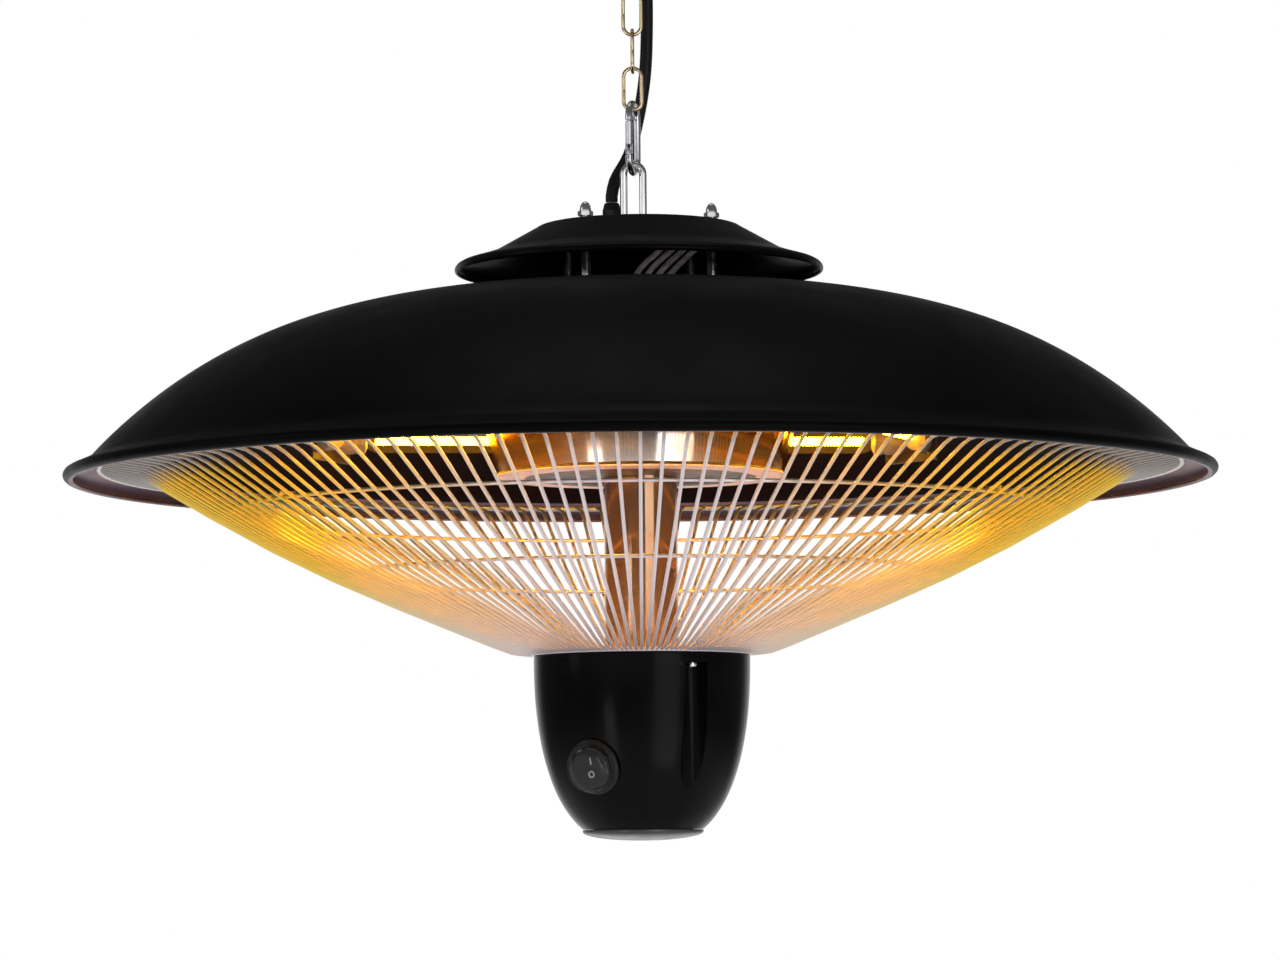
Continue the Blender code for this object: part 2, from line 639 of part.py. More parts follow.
def cap_pieces(heater):
    """The vented cap, drilled for the posts, the bow and the gland."""
    cap = add("top_cap", turned("top_cap", cap_outline(), ROUND_SIDES, closed=False), "black_paint", heater)
    sheet(cap, CAP_SHEET)
    high, low = CAP_TOP + OVERRUN, CAP_TOP - CAP_SHEET - OVERRUN
    holes = [(place, POST_THREAD + CLEAR) for place in post_places()]
    holes += [((side * BOW_BEND - HANG_OFFSET, 0, 0), BOW_WIRE + CLEAR) for side in (-1, 1)]
    holes.append(((GLAND_AT[0] - HANG_OFFSET, GLAND_AT[1], 0), GLAND_NECK + CLEAR))
    for number, (place, radius) in enumerate(holes):
        tool = rod("cap_hole", radius, low, high, HOLE_SIDES)
        cut(cap, add(f"cap_hole_{number}", tool, None, heater, place, cutter=True))


def posts(heater):
    """Shouldered posts that carry the dome under the cap, and the domed nuts on them."""
    shoulder_low = dome_height(POST_CIRCLE - POST_WIRE) + CLEAR
    shoulder_high = CAP_TOP - CAP_SHEET - CLEAR
    foot = support_top() - SUPPORT_THICK - POST_BELOW_PLATE
    top = CAP_TOP + POST_ABOVE_CAP
    for number, place in enumerate(post_places(), 1):
        outline = [(0, top), (POST_THREAD, top), (POST_THREAD, shoulder_high), (POST_WIRE, shoulder_high),
                   (POST_WIRE, shoulder_low), (POST_THREAD, shoulder_low), (POST_THREAD, foot), (0, foot)]
        post = turned("cap_post", outline, HOLE_SIDES, closed=False)
        add(f"cap_post_{number}", post, "zinc_steel", heater, place)

        base = CAP_TOP + CLEAR
        crown = NUT_ACROSS / 2 / math.cos(math.pi / 6)
        rise = CAP_NUT_TALL - CAP_NUT_BASE
        arc = [(0.9 * crown * math.cos(a), base + CAP_NUT_BASE + rise * math.sin(a))
               for a in [math.pi / 2 * i / 3 for i in range(3)]]
        bore = POST_THREAD + CLEAR
        inside = top + CLEAR
        outline = [(bore, base), (crown, base), (crown, base + CAP_NUT_BASE), *arc, (0, base + CAP_NUT_TALL),
                   (0, inside), (bore, inside)]
        bm = bmesh.new()
        line = chain_of(bm, [(r, 0, h) for r, h in outline], closed=True)
        bmesh.ops.spin(bm, geom=line, cent=(0, 0, 0), axis=(0, 0, 1), dvec=(0, 0, 0),
                       angle=math.tau, steps=6, use_merge=True)
        add(f"cap_nut_{number}", mesh_from(bm, "cap_nut"), "chrome", heater, place)


def cable_gland(heater):
    """The gland that the mains lead goes in by: hexagon foot, rounded clamp nut, neck through the cap."""
    base = CAP_TOP + CLEAR
    top = base + GLAND_TALL
    foot = 0.3 * GLAND_TALL
    neck_low = CAP_TOP - CAP_SHEET - GLAND_NECK_DEPTH
    nut = 0.86 * GLAND_RADIUS
    outline = [(0, neck_low), (GLAND_NECK, neck_low), (GLAND_NECK, base), (GLAND_RADIUS, base),
               (GLAND_RADIUS, base + foot), (nut, base + foot), (nut, base + 0.75 * GLAND_TALL),
               (0.76 * GLAND_RADIUS, base + 0.9 * GLAND_TALL), (0.64 * GLAND_RADIUS, top), (0, top)]
    place = (GLAND_AT[0] - HANG_OFFSET, GLAND_AT[1], 0)
    gland = turned("cable_gland", outline, TINY_SIDES, closed=False)
    add("cable_gland", gland, "black_plastic", heater, place)


def lead_pieces(heater, heater_height, chain, chain_height):
    """The mains lead up the chain, its spare length wound in a coil, the ties and the plug."""
    route = [Vector(p) for p in LEAD_ROUTE]
    route[0].z = CAP_TOP + CLEAR + GLAND_TALL + 2 * CLEAR
    straight = Vector((0, 0, LEAD_WIRE))
    middle_run = [route[0] + straight] + route[1:-1] + [route[-1] - straight]
    points = [route[0]] + smooth_route(middle_run, LEAD_STEP * LEAD_WIRE * 2) + [route[-1]]
    points = [(p.x, p.y, p.z - chain_height) for p in points]
    add("mains_lead", wire("mains_lead", points, LEAD_WIRE, 2), "black_rubber", chain)
    length = sum((Vector(a) - Vector(b)).length for a, b in zip(points, points[1:]))

    start = route[-1] + Vector((0, 0, CLEAR))
    spiral = []
    layer = COIL_PITCH
    count = round(COIL_TURNS * COIL_POINTS)
    middle = COIL_TURNS / 2
    for i in range(count + 1):
        t = i / COIL_POINTS
        radius = COIL_OUTER - COIL_PITCH * (middle - abs(t - middle))
        climb = min(1.0, max(0.0, t - middle + 0.5))
        y = COIL_Y + layer * climb * climb * (3 - 2 * climb)
        out = min(1.0, max(0.0, (t - COIL_TURNS + COIL_EXIT_TURN) / COIL_EXIT_TURN))
        y += COIL_EXIT_SHIFT * out * out * (3 - 2 * out)
        a = math.pi - math.tau * t
        spiral.append(Vector((COIL_CENTRE + radius * math.cos(a), y, COIL_HEIGHT + radius * math.sin(a))))
    end = spiral[-1] - Vector((0, 0, PLUG_RUN))
    rows = [start, start.lerp(spiral[0], 0.5)] + spiral + [end.lerp(spiral[-1], 0.5), end]
    closest = least_gap(rows, COIL_POINTS)
    coil_length = sum((b - a).length for a, b in zip(rows, rows[1:]))
    print(f"lead: free {length:.4f} m, coil {coil_length:.4f} m, least gap in the coil {closest / MM:.2f} mm")
    coil_points = [(p.x, p.y, p.z - chain_height) for p in rows]
    add("lead_coil", wire("lead_coil", coil_points, LEAD_WIRE, 1), "black_rubber", chain)

    tie("lead_tie", FIRST_LINK + 3 * LINK_PITCH, [(0, -LINK_BEND, LINK_WIRE), (0, LINK_BEND, LINK_WIRE),
        (*lead_at(points, FIRST_LINK + 3 * LINK_PITCH - chain_height), LEAD_WIRE)], chain, chain_height)
    near = COIL_OUTER - COIL_PITCH * 0.5
    far = COIL_OUTER - COIL_PITCH * middle
    bundle = [(COIL_CENTRE - COIL_OUTER, COIL_Y), (COIL_CENTRE - near, COIL_Y + layer),
              (COIL_CENTRE - far, COIL_Y), (COIL_CENTRE - far, COIL_Y + layer)]
    tie("coil_tie", LAST_LINK - LINK_PITCH, [(0, -LINK_BEND, LINK_WIRE), (0, LINK_BEND, LINK_WIRE)]
        + [(x, y, LEAD_WIRE) for x, y in bundle], chain, chain_height)
    plug(end, chain, chain_height)


def lead_at(points, height):
    """Where the lead passes a height."""
    low, high = max((p for p in points if p[2] <= height), key=lambda p: p[2]), \
        min((p for p in points if p[2] > height), key=lambda p: p[2])
    share = (height - low[2]) / (high[2] - low[2])
    return low[0] + (high[0] - low[0]) * share, low[1] + (high[1] - low[1]) * share


def least_gap(rows, turn_points):
    """The least clear distance between turns of a wound tube, measured on points between its rings."""
    dense = [a.lerp(b, k / 3) for a, b in zip(rows, rows[1:]) for k in range(3)]
    apart = turn_points * 3 // 2
    return min((p - q).length for i, p in enumerate(dense) for q in dense[i + apart:]) - 2 * LEAD_WIRE


def tie(name, height, circles, chain, chain_height):
    """A flat tie pulled round some round things, which are given as (x, y, radius)."""
    rings = []
    for reach in (CLEAR, CLEAR + TIE_THICK):
        ring = []
        for i in range(TIE_POINTS):
            a = math.tau * i / TIE_POINTS
            x, y, r = max(circles, key=lambda c: c[0] * math.cos(a) + c[1] * math.sin(a) + c[2])
            grow = (r + reach) / math.cos(math.pi / TIE_POINTS)
            ring.append((x + grow * math.cos(a), y + grow * math.sin(a)))
        rings.append(ring)
    bm = bmesh.new()
    low = height - chain_height - TIE_WIDE / 2
    loops = []
    for ring in rings:
        loops.append(chain_of(bm, [(x, y, low) for x, y in ring], closed=True))
    edges = [e for loop in loops for e in loop if isinstance(e, bmesh.types.BMEdge)]
    flat = bmesh.ops.bridge_loops(bm, edges=edges)
    grown = bmesh.ops.extrude_face_region(bm, geom=flat["faces"])["geom"]
    raised = [g for g in grown if isinstance(g, bmesh.types.BMVert)]
    bmesh.ops.translate(bm, vec=(0, 0, TIE_WIDE), verts=raised)
    add(name, mesh_from(bm, name), "black_plastic", chain)


def plug(end, chain, chain_height):
    """A two-pin plug with its lead in at the side, pins towards the back."""
    top = end.z - CLEAR
    middle = top - PLUG_COLLAR - 0.9 * PLUG_RADIUS
    place = Vector((end.x, end.y + PLUG_SHIFT, middle - chain_height))
    half = PLUG_DEEP / 2
    edge = 0.1 * PLUG_DEEP
    outline = [(0, -half), (PLUG_RADIUS - edge, -half), (PLUG_RADIUS, -half + edge),
               (PLUG_RADIUS, half - edge), (PLUG_RADIUS - edge, half), (0, half)]
    quarter = (-math.pi / 2, 0, 0)
    shape = turned("plug_body", outline, SMALL_SIDES, closed=False)
    body = add("plug_body", shape, "black_rubber", chain, place, quarter)
    collar_low = top - PLUG_COLLAR - 0.3 * PLUG_RADIUS
    collar_outline = [(0, collar_low), (LEAD_WIRE * 1.7, collar_low), (LEAD_WIRE * 1.3, top), (0, top)]
    collar = turned("plug_collar", collar_outline, TINY_SIDES, closed=False)
    cut(body, add("plug_collar", collar, None, chain, (end.x, end.y, -chain_height), cutter=True), "UNION")
    for side, word in ((-1, "left"), (1, "right")):
        spot = (place.x + side * PIN_SPREAD / 2, place.y + half + CLEAR, place.z)
        outline = [(0, 0), (PIN_RADIUS, 0), (PIN_RADIUS, PIN_LONG - PIN_RADIUS / 2),
                   (PIN_RADIUS / 2, PIN_LONG), (0, PIN_LONG)]
        pin = turned("plug_pin", outline, TINY_SIDES, closed=False)
        add(f"plug_pin_{word}", pin, "nickel_pin", chain, spot, quarter)


def dome_outline():
    """Outer skin of the dome, from its vent out to the flange and round the rolled lip."""
    points = dome_bowl()
    tip = DOME_BASE - RIM_DROP
    lip = DOME_BASE - LIP_DROP
    points.append((RIM_RADIUS - 0.5 * LIP_RETURN, tip + 0.2 * RIM_DROP))
    points.append((RIM_RADIUS, tip - 0.15 * RIM_DROP))
    points.append((RIM_RADIUS - 0.3 * LIP_RETURN, lip + 0.25 * (tip - lip)))
    points.append((RIM_RADIUS - LIP_RETURN, lip))
    return points


def dome_piece(heater):
    dome = add("dome", turned("dome", dome_outline(), FINE_SIDES, closed=False), "black_paint", heater)
    sheet(dome, DOME_SHEET)
    for number, place in enumerate(post_places(), 1):
        high = CAP_TOP - CAP_CROWN_DROP
        tool = rod("dome_hole", POST_THREAD + CLEAR, DOME_BASE, high, HOLE_SIDES)
        cut(dome, add(f"dome_hole_{number}", tool, None, heater, place, cutter=True))


def support_top():
    """Top of the support plate, just under the dome."""
    return dome_under(SUPPORT_RADIUS) - CLEAR


def inner_pieces(heater):
    """The support plate under the dome, the central tube that carries the pod, and the reflector."""
    top = support_top()
    low = top - SUPPORT_THICK
    ring = [(SUPPORT_HOLE, low), (SUPPORT_RADIUS, low), (SUPPORT_RADIUS, top), (SUPPORT_HOLE, top)]
    plate = add("support_plate", turned("support_plate", ring, SMALL_SIDES), "zinc_steel", heater)
    for number, place in enumerate(post_places(), 1):
        tool = rod("support_hole", POST_THREAD + CLEAR, low - OVERRUN, top + OVERRUN, HOLE_SIDES)
        cut(plate, add(f"support_hole_{number}", tool, None, heater, place, cutter=True))

    inner = TUBE_RADIUS - TUBE_SHEET
    foot = POD_TALL - POD_WALL
    wall = [(inner, foot), (TUBE_RADIUS, foot), (TUBE_RADIUS, low - CLEAR), (inner, low - CLEAR)]
    add("central_tube", turned("central_tube", wall, SMALL_SIDES), "polished_aluminium", heater)

    rim = REFLECTOR_BOTTOM
    top_radius = REFLECTOR_RADIUS
    for _ in range(4):
        top_radius = REFLECTOR_RADIUS + (dome_under(top_radius) - CLEAR - rim) * math.tan(REFLECTOR_SLOPE)
    head = dome_under(top_radius) - 2 * CLEAR
    skin = [(TUBE_RADIUS + CLEAR, rim), (REFLECTOR_RADIUS + REFLECTOR_LIP, rim),
            (REFLECTOR_RADIUS + REFLECTOR_LIP, rim + REFLECTOR_LIP),
            (REFLECTOR_RADIUS + REFLECTOR_LIP * math.tan(REFLECTOR_SLOPE), rim + REFLECTOR_LIP),
            (top_radius, head), (top_radius - REFLECTOR_SHEET, head),
            (REFLECTOR_RADIUS - REFLECTOR_SHEET, rim + REFLECTOR_SHEET),
            (TUBE_RADIUS + CLEAR, rim + REFLECTOR_SHEET)]
    add("reflector", turned("reflector", skin, ROUND_SIDES), "polished_aluminium", heater)


def lamps(heater):
    """Three straight quartz lamps with ceramic ends, and a bracket at each corner that holds two ends."""
    half = LAMP_LONG / 2
    shoulder = half - LAMP_END_LONG
    outline = [(0, -half), (LAMP_END, -half), (LAMP_END, -shoulder), (LAMP_GLASS, -shoulder),
               (LAMP_GLASS, shoulder), (LAMP_END, shoulder), (LAMP_END, half), (0, half)]
    for number in range(1, LAMPS + 1):
        turn = LAMP_TURN + math.tau * (number - 1) / LAMPS
        name = f"heating_lamp_{number}"
        along = (0, math.pi / 2, turn)
        add(name, turned(name, outline, TINY_SIDES, closed=False), "gold_quartz", heater,
            at_turn(LAMP_INRADIUS, turn, LAMP_HEIGHT), along)
    for number in range(1, LAMPS + 1):
        corner = LAMP_TURN + math.tau * (number - 0.5) / LAMPS
        bracket(number, corner, heater)


def bracket(number, corner, heater):
    """A folded plate with a hole for each of the two lamp ends that meet at its corner."""
    lean = math.pi / LAMPS
    along = LAMP_LONG / 2 - BRACKET_FROM_END
    reach = LAMP_INRADIUS * math.cos(lean) + along * math.sin(lean)
    aside = LAMP_INRADIUS * math.sin(lean) - along * math.cos(lean)
    far = math.hypot(reach + BRACKET_FOOT, BRACKET_HALF_WIDTH)
    near = math.hypot(reach, BRACKET_HALF_WIDTH)
    slope = (dome_under(far) - dome_under(near)) / (far - near)
    head = min(dome_under(near), dome_under(far) - slope * BRACKET_FOOT) - CLEAR
    low = LAMP_HEIGHT - BRACKET_BELOW_LAMP
    foot_end = head + slope * BRACKET_FOOT
    outline = [(reach, low), (reach + BRACKET_SHEET, low), (reach + BRACKET_SHEET, head - 2 * BRACKET_SHEET),
               (reach + BRACKET_FOOT, foot_end - 1.4 * BRACKET_SHEET), (reach + BRACKET_FOOT, foot_end),
               (reach, head)]
    name = f"lamp_bracket_{number}"
    shape = extruded(name, outline, 2 * BRACKET_HALF_WIDTH, -BRACKET_HALF_WIDTH)
    shape.transform(Matrix.Rotation(math.pi / 2, 4, "X"))
    upright = (0, 0, corner - math.pi / 2)
    piece = add(name, shape, "zinc_steel", heater, (0, 0, 0), upright)
    for side in (-1, 1):
        tool = rod("lamp_hole", LAMP_END + CLEAR, -LAMP_END_LONG, LAMP_END_LONG, SMALL_SIDES)
        tool.transform(Matrix.Rotation(math.pi / 2, 4, "Y"))
        place = (reach * math.sin(corner) + side * aside * math.cos(corner),
                 -reach * math.cos(corner) + side * aside * math.sin(corner), LAMP_HEIGHT)
        turn = (0, 0, corner - math.pi / 2 + side * (math.pi / 2 - lean) * -1)
        cut(piece, add(f"lamp_hole_{number}_{side}", tool, None, heater, place, turn, cutter=True))


def grille(heater):
    """The bowl of radial wires, joined to a base disc below and a ring above, with tabs under the dome."""
    top = GRILLE_BASE_BOTTOM + GRILLE_BASE_THICK
    line = [(GRILLE_BASE_RADIUS - WIRE_SINK, GRILLE_BASE_BOTTOM + GRILLE_BASE_THICK / 2),
            (GRILLE_BASE_RADIUS + WIRE_FOOT_REACH, WIRE_FOOT_HEIGHT), (WIRE_BEND_RADIUS, WIRE_BEND_HEIGHT),
            (KINK_RADIUS, KINK_HEIGHT), (OUTER_RING_RADIUS, OUTER_RING_HEIGHT)]
    between = Matrix.Rotation(math.pi / WIRES, 4, "Z")
    sides = [math.tau * (k + 0.5) / 3 for k in range(3)]
    bm = bmesh.new()
    loops = []
    for i, (r, h) in enumerate(line):
        before, after = line[max(0, i - 1)], line[min(len(line) - 1, i + 1)]
        run = Vector((after[0] - before[0], after[1] - before[1])).normalized()
        ring = [(r - run.y * WIRE_RADIUS * math.sin(a), WIRE_RADIUS * math.cos(a),
                 h + run.x * WIRE_RADIUS * math.sin(a)) for a in sides]
        loops.append([bm.verts.new(p) for p in ring])
    bm.faces.new(loops[0])
    bm.faces.new(loops[-1])
    for low, high in zip(loops, loops[1:]):
        for k in range(3):
            bm.faces.new((low[k], low[k - 1], high[k - 1], high[k]))
    bmesh.ops.recalc_face_normals(bm, faces=bm.faces)
    bmesh.ops.spin(bm, geom=bm.verts[:] + bm.edges[:] + bm.faces[:], cent=(0, 0, 0), axis=(0, 0, 1),
                   dvec=(0, 0, 0), angle=math.tau * (WIRES - 1) / WIRES, steps=WIRES - 1, use_duplicate=True)
    mesh = bpy.data.meshes.new("grille")
    bm.to_mesh(mesh)
    bm.free()
    bowl = add("grille", mesh, "chrome", heater)

    hole = TUBE_RADIUS + CLEAR
    disc = turned("grille_base", [(hole, GRILLE_BASE_BOTTOM), (GRILLE_BASE_RADIUS, GRILLE_BASE_BOTTOM),
                                  (GRILLE_BASE_RADIUS, top), (hole, top)], WIRES // 4)
    disc.transform(between)
    cut(bowl, add("grille_base", disc, None, heater, cutter=True), "UNION")
    reach = 1.2 * OUTER_RING_WIRE
    section = [(OUTER_RING_RADIUS + reach * math.cos(a), OUTER_RING_HEIGHT + reach * math.sin(a))
               for a in [math.tau * (k + 0.5) / 4 for k in range(4)]]
    hoop = turned("outer_ring", section, WIRES // 3)
    hoop.transform(between)
    cut(bowl, add("outer_ring", hoop, None, heater, cutter=True), "UNION")

    outer = OUTER_RING_RADIUS + TAB_THICK / 2
    head = dome_under(math.hypot(outer, TAB_WIDE / 2)) - 2 * CLEAR
    size = (TAB_WIDE, TAB_THICK, head - OUTER_RING_HEIGHT)
    for k in range(TABS):
        turn = TAB_TURN + math.tau * k / TABS
        tab = block("grille_tab", size)
        place = at_turn(OUTER_RING_RADIUS, turn, (head + OUTER_RING_HEIGHT) / 2)
        cut(bowl, add(f"grille_tab_{k}", tab, None, heater, place, (0, 0, turn), cutter=True), "UNION")
    for turn in WELL_TURNS:
        radius = WELL_SCREW_SHANK + CLEAR
        tool = rod("grille_screw_hole", radius, GRILLE_BASE_BOTTOM - OVERRUN, top + OVERRUN, TINY_SIDES)
        place = at_turn(screw_circle(), turn)
        name = f"grille_screw_hole_{round(math.degrees(turn))}"
        cut(bowl, add(name, tool, None, heater, place, cutter=True))

    rest = 2 * WIRE_RADIUS + CLEAR
    for name, radius, below, above in (("grille_inner_ring", INNER_RING_RADIUS, line[1], line[2]),
                                       ("grille_middle_ring", MIDDLE_RING_RADIUS, line[2], line[3])):
        slope = (above[1] - below[1]) / (above[0] - below[0])
        lean = math.atan(slope)
        height = below[1] + slope * (radius - below[0]) + rest * math.cos(lean)
        radius -= rest * math.sin(lean)
        section = [(radius + WIRE_RADIUS * math.cos(a), height + WIRE_RADIUS * math.sin(a))
                   for a in [math.tau * (k + 0.25) / 3 + lean for k in range(3)]]
        add(name, turned(name, section, FINE_SIDES), "chrome", heater)


def screw_circle():
    """The pod's screws stand a little inside the wells' middle, clear of the wires' feet."""
    return WELL_CIRCLE - 1.2 * WELL_SCREW_SHANK


def pod_pieces(heater):
    """The pod, hollow and open above, with two deep screw wells; its screws and its end cap."""
    outer = [(0, 0)] + [(pod_radius(POD_TALL * i / POD_RINGS), POD_TALL * i / POD_RINGS)
                        for i in range(POD_RINGS + 1)] + [(0, POD_TALL)]
    pod = add("pod_shell", turned("pod_shell", outer, ROUND_SIDES, closed=False), "black_plastic", heater)
    floor = POD_WALL
    inner = [(0, floor)]
    for i in range(POD_RINGS + 1):
        height = floor + (POD_TALL + OVERRUN - floor) * i / POD_RINGS
        inner.append((pod_radius(min(height, POD_TALL)) - POD_WALL, height))
    inner.append((0, POD_TALL + OVERRUN))
    room = add("pod_room", turned("pod_room", inner, SMALL_SIDES, closed=False), None, heater, cutter=True)
    for number, turn in enumerate(WELL_TURNS, 1):
        jacket = rod("well_jacket", WELL_RADIUS + WELL_WALL, -OVERRUN, POD_TALL + 2 * OVERRUN, SMALL_SIDES)
        cut(room, add(f"well_jacket_{number}", jacket, None, heater, at_turn(WELL_CIRCLE, turn), cutter=True))
    cut(pod, room)
    for number, turn in enumerate(WELL_TURNS, 1):
        well = rod("well", WELL_RADIUS, -OVERRUN, WELL_TOP, SMALL_SIDES)
        cut(pod, add(f"well_{number}", well, None, heater, at_turn(WELL_CIRCLE, turn), cutter=True))
        radius = WELL_SCREW_SHANK + CLEAR
        hole = rod("pod_screw_hole", radius, WELL_TOP - OVERRUN, POD_TALL + OVERRUN, TINY_SIDES)
        spot = at_turn(screw_circle(), turn)
        cut(pod, add(f"pod_screw_hole_{number}", hole, None, heater, spot, cutter=True))
        head_top = WELL_TOP - CLEAR
        head = head_top - WELL_SCREW_HEAD_TALL
        tip = GRILLE_BASE_BOTTOM + 0.8 * GRILLE_BASE_THICK
        line = [(0, tip), (WELL_SCREW_SHANK, tip), (WELL_SCREW_SHANK, head_top),
                (WELL_SCREW_HEAD, head_top), (WELL_SCREW_HEAD, head + 0.4 * WELL_SCREW_HEAD_TALL),
                (0.6 * WELL_SCREW_HEAD, head), (0, head)]
        screw = turned("pod_screw", line, TINY_SIDES, closed=False)
        add(f"pod_screw_{number}", screw, "chrome", heater, spot)

    bottom = pod_radius(0)
    opening = rod("pod_opening", bottom - END_CAP_SPIGOT, -OVERRUN, POD_WALL + OVERRUN, SMALL_SIDES)
    cut(pod, add("pod_opening", opening, None, heater, cutter=True))
    spigot = bottom - END_CAP_SPIGOT - CLEAR
    drop = END_CAP_DROP - END_CAP_RIM
    steps = 4
    bowl = []
    for i in range(steps):
        share = math.sin(math.pi / 2 * i / steps)
        bowl.append((bottom * share, -END_CAP_DROP + drop * (1 - math.sqrt(1 - share * share))))
    outline = bowl + [(bottom, -END_CAP_RIM), (bottom, -CLEAR), (spigot, -CLEAR), (spigot, END_CAP_SPIGOT),
                      (0, END_CAP_SPIGOT)]
    add("pod_end_cap", turned("pod_end_cap", outline, SMALL_SIDES, closed=False), "smoked_plastic", heater)
    return pod


def switch_frame():
    """Turn of the switch's seat: Z out of the pod's skin, Y up along it."""
    step = 1 * MM
    slope = (pod_radius(SWITCH_HEIGHT + step) - pod_radius(SWITCH_HEIGHT - step)) / (2 * step)
    out = Vector((math.sin(SWITCH_TURN), -math.cos(SWITCH_TURN), -slope)).normalized()
    level = Vector((math.cos(SWITCH_TURN), math.sin(SWITCH_TURN), 0))
    up = out.cross(level)
    return Matrix((level, up, out)).transposed()


def switch_pieces(heater, pod):
    """The round rocker switch: bezel with its barrel through the pod's wall, rocker, and clear boot."""
    spot = at_turn(pod_radius(SWITCH_HEIGHT), SWITCH_TURN, SWITCH_HEIGHT)
    seat = empty("switch_seat", spot, heater, switch_frame())
    recess = rod("bezel_recess", BEZEL_RADIUS + CLEAR, -BEZEL_SEAT, BEZEL_PROUD + 2 * OVERRUN, SMALL_SIDES)
    cut(pod, add("bezel_recess", recess, None, seat, cutter=True))
    passage = rod("barrel_passage", BARREL_RADIUS + CLEAR, -BARREL_DEEP, OVERRUN, SMALL_SIDES)
    cut(pod, add("barrel_passage", passage, None, seat, cutter=True))

    under = -BEZEL_SEAT + CLEAR
    deep = -BARREL_DEEP
    groove = BOOT_RADIUS + BOOT_WALL
    outline = [(0, deep), (BARREL_RADIUS, deep), (BARREL_RADIUS, under), (BEZEL_RADIUS, under),
               (BEZEL_RADIUS, 0.6 * BEZEL_PROUD), (groove, BEZEL_PROUD), (BEZEL_BORE, BEZEL_PROUD),
               (BEZEL_BORE, deep + BARREL_FLOOR), (0, deep + BARREL_FLOOR)]
    add("switch_body", turned("switch_body", outline, SMALL_SIDES, closed=False), "black_plastic", seat)

    pivot = BEZEL_PROUD - ROCKER_SINK
    axis = empty("rocker_axis", (0, 0, pivot), seat)
    bm = bmesh.new()
    bmesh.ops.create_circle(bm, cap_ends=True, segments=SMALL_SIDES, radius=ROCKER_RADIUS)
    whole = bm.verts[:] + bm.edges[:] + bm.faces[:]
    bmesh.ops.bisect_plane(bm, geom=whole, plane_co=(0, 0, 0), plane_no=(0, 1, 0))
    bmesh.ops.translate(bm, vec=(0, 0, -ROCKER_HALF), verts=bm.verts)
    grown = bmesh.ops.extrude_face_region(bm, geom=bm.faces[:])["geom"]
    for vert in [g for g in grown if isinstance(g, bmesh.types.BMVert)]:
        vert.co.z = ROCKER_HALF - math.tan(ROCKER_ANGLE) * (ROCKER_RADIUS - abs(vert.co.y))
    shape = mesh_from(bm, "switch_rocker", smooth=False)
    add("switch_rocker", shape, "black_plastic", axis, (0, 0, 0), (-ROCKER_ANGLE, 0, 0))

    base = BEZEL_PROUD + CLEAR
    crown = base + BOOT_TALL
    skin = [(BOOT_RADIUS, base), (BOOT_RADIUS, base + 0.62 * BOOT_TALL),
            (0.93 * BOOT_RADIUS, base + 0.85 * BOOT_TALL),
            (0.75 * BOOT_RADIUS, crown - 0.05 * BOOT_TALL), (0, crown)]
    boot = add("switch_boot", turned("switch_boot", skin, SMALL_SIDES, closed=False), "clear_silicone", seat)
    sheet(boot, BOOT_WALL)


def wiring(heater):
    """The terminal block under the cap, and four sleeved leads down the tube to the switch."""
    x, y = BLOCK_AT
    low = CAP_TOP - CAP_SHEET - CLEAR - BLOCK_SIZE[2]
    place = (x, y, low + BLOCK_SIZE[2] / 2)
    add("terminal_block", block("terminal_block", BLOCK_SIZE), "white_nylon", heater, place)
    inner = TUBE_RADIUS - TUBE_SHEET
    mouth = support_top() - SUPPORT_THICK
    seat_spot = Vector(at_turn(pod_radius(SWITCH_HEIGHT), SWITCH_TURN, SWITCH_HEIGHT))
    frame = switch_frame()
    for number in range(INNER_LEADS):
        offset = (number - (INNER_LEADS - 1) / 2) * INNER_LEAD_SPACING
        aside = -1 if number < INNER_LEADS / 2 else 1
        back = 1 if number % 2 else -1
        square = LEAD_GATHER / math.sqrt(2)
        corner = (aside * square, back * square)
        tab = frame @ Vector((aside * square, -back * square, -BARREL_DEEP - 2 * CLEAR))
        goal = seat_spot + tab
        ahead = goal + frame @ Vector((0, 0, -LEAD_GATHER))
        start = (x + offset, y, low - CLEAR)
        route = [(x + offset, y, low - CLEAR - INNER_LEAD_WIRE),
                 (LEAD_CROSSING[0] + offset, y, LEAD_CROSSING[1]),
                 (0.6 * offset, corner[1] * 0.5, mouth),
                 (corner[0], corner[1], mouth - TUBE_RADIUS), (corner[0], corner[1], POD_TALL),
                 ((corner[0] + ahead.x) / 2, (corner[1] + ahead.y) / 2, (POD_TALL + ahead.z) / 2),
                 tuple(ahead)]
        name = f"inner_lead_{number + 1}"
        points = [start] + smooth_route(route, inner) + [tuple(goal)]
        add(name, wire(name, points, INNER_LEAD_WIRE, 0), "grey_sleeve", heater)


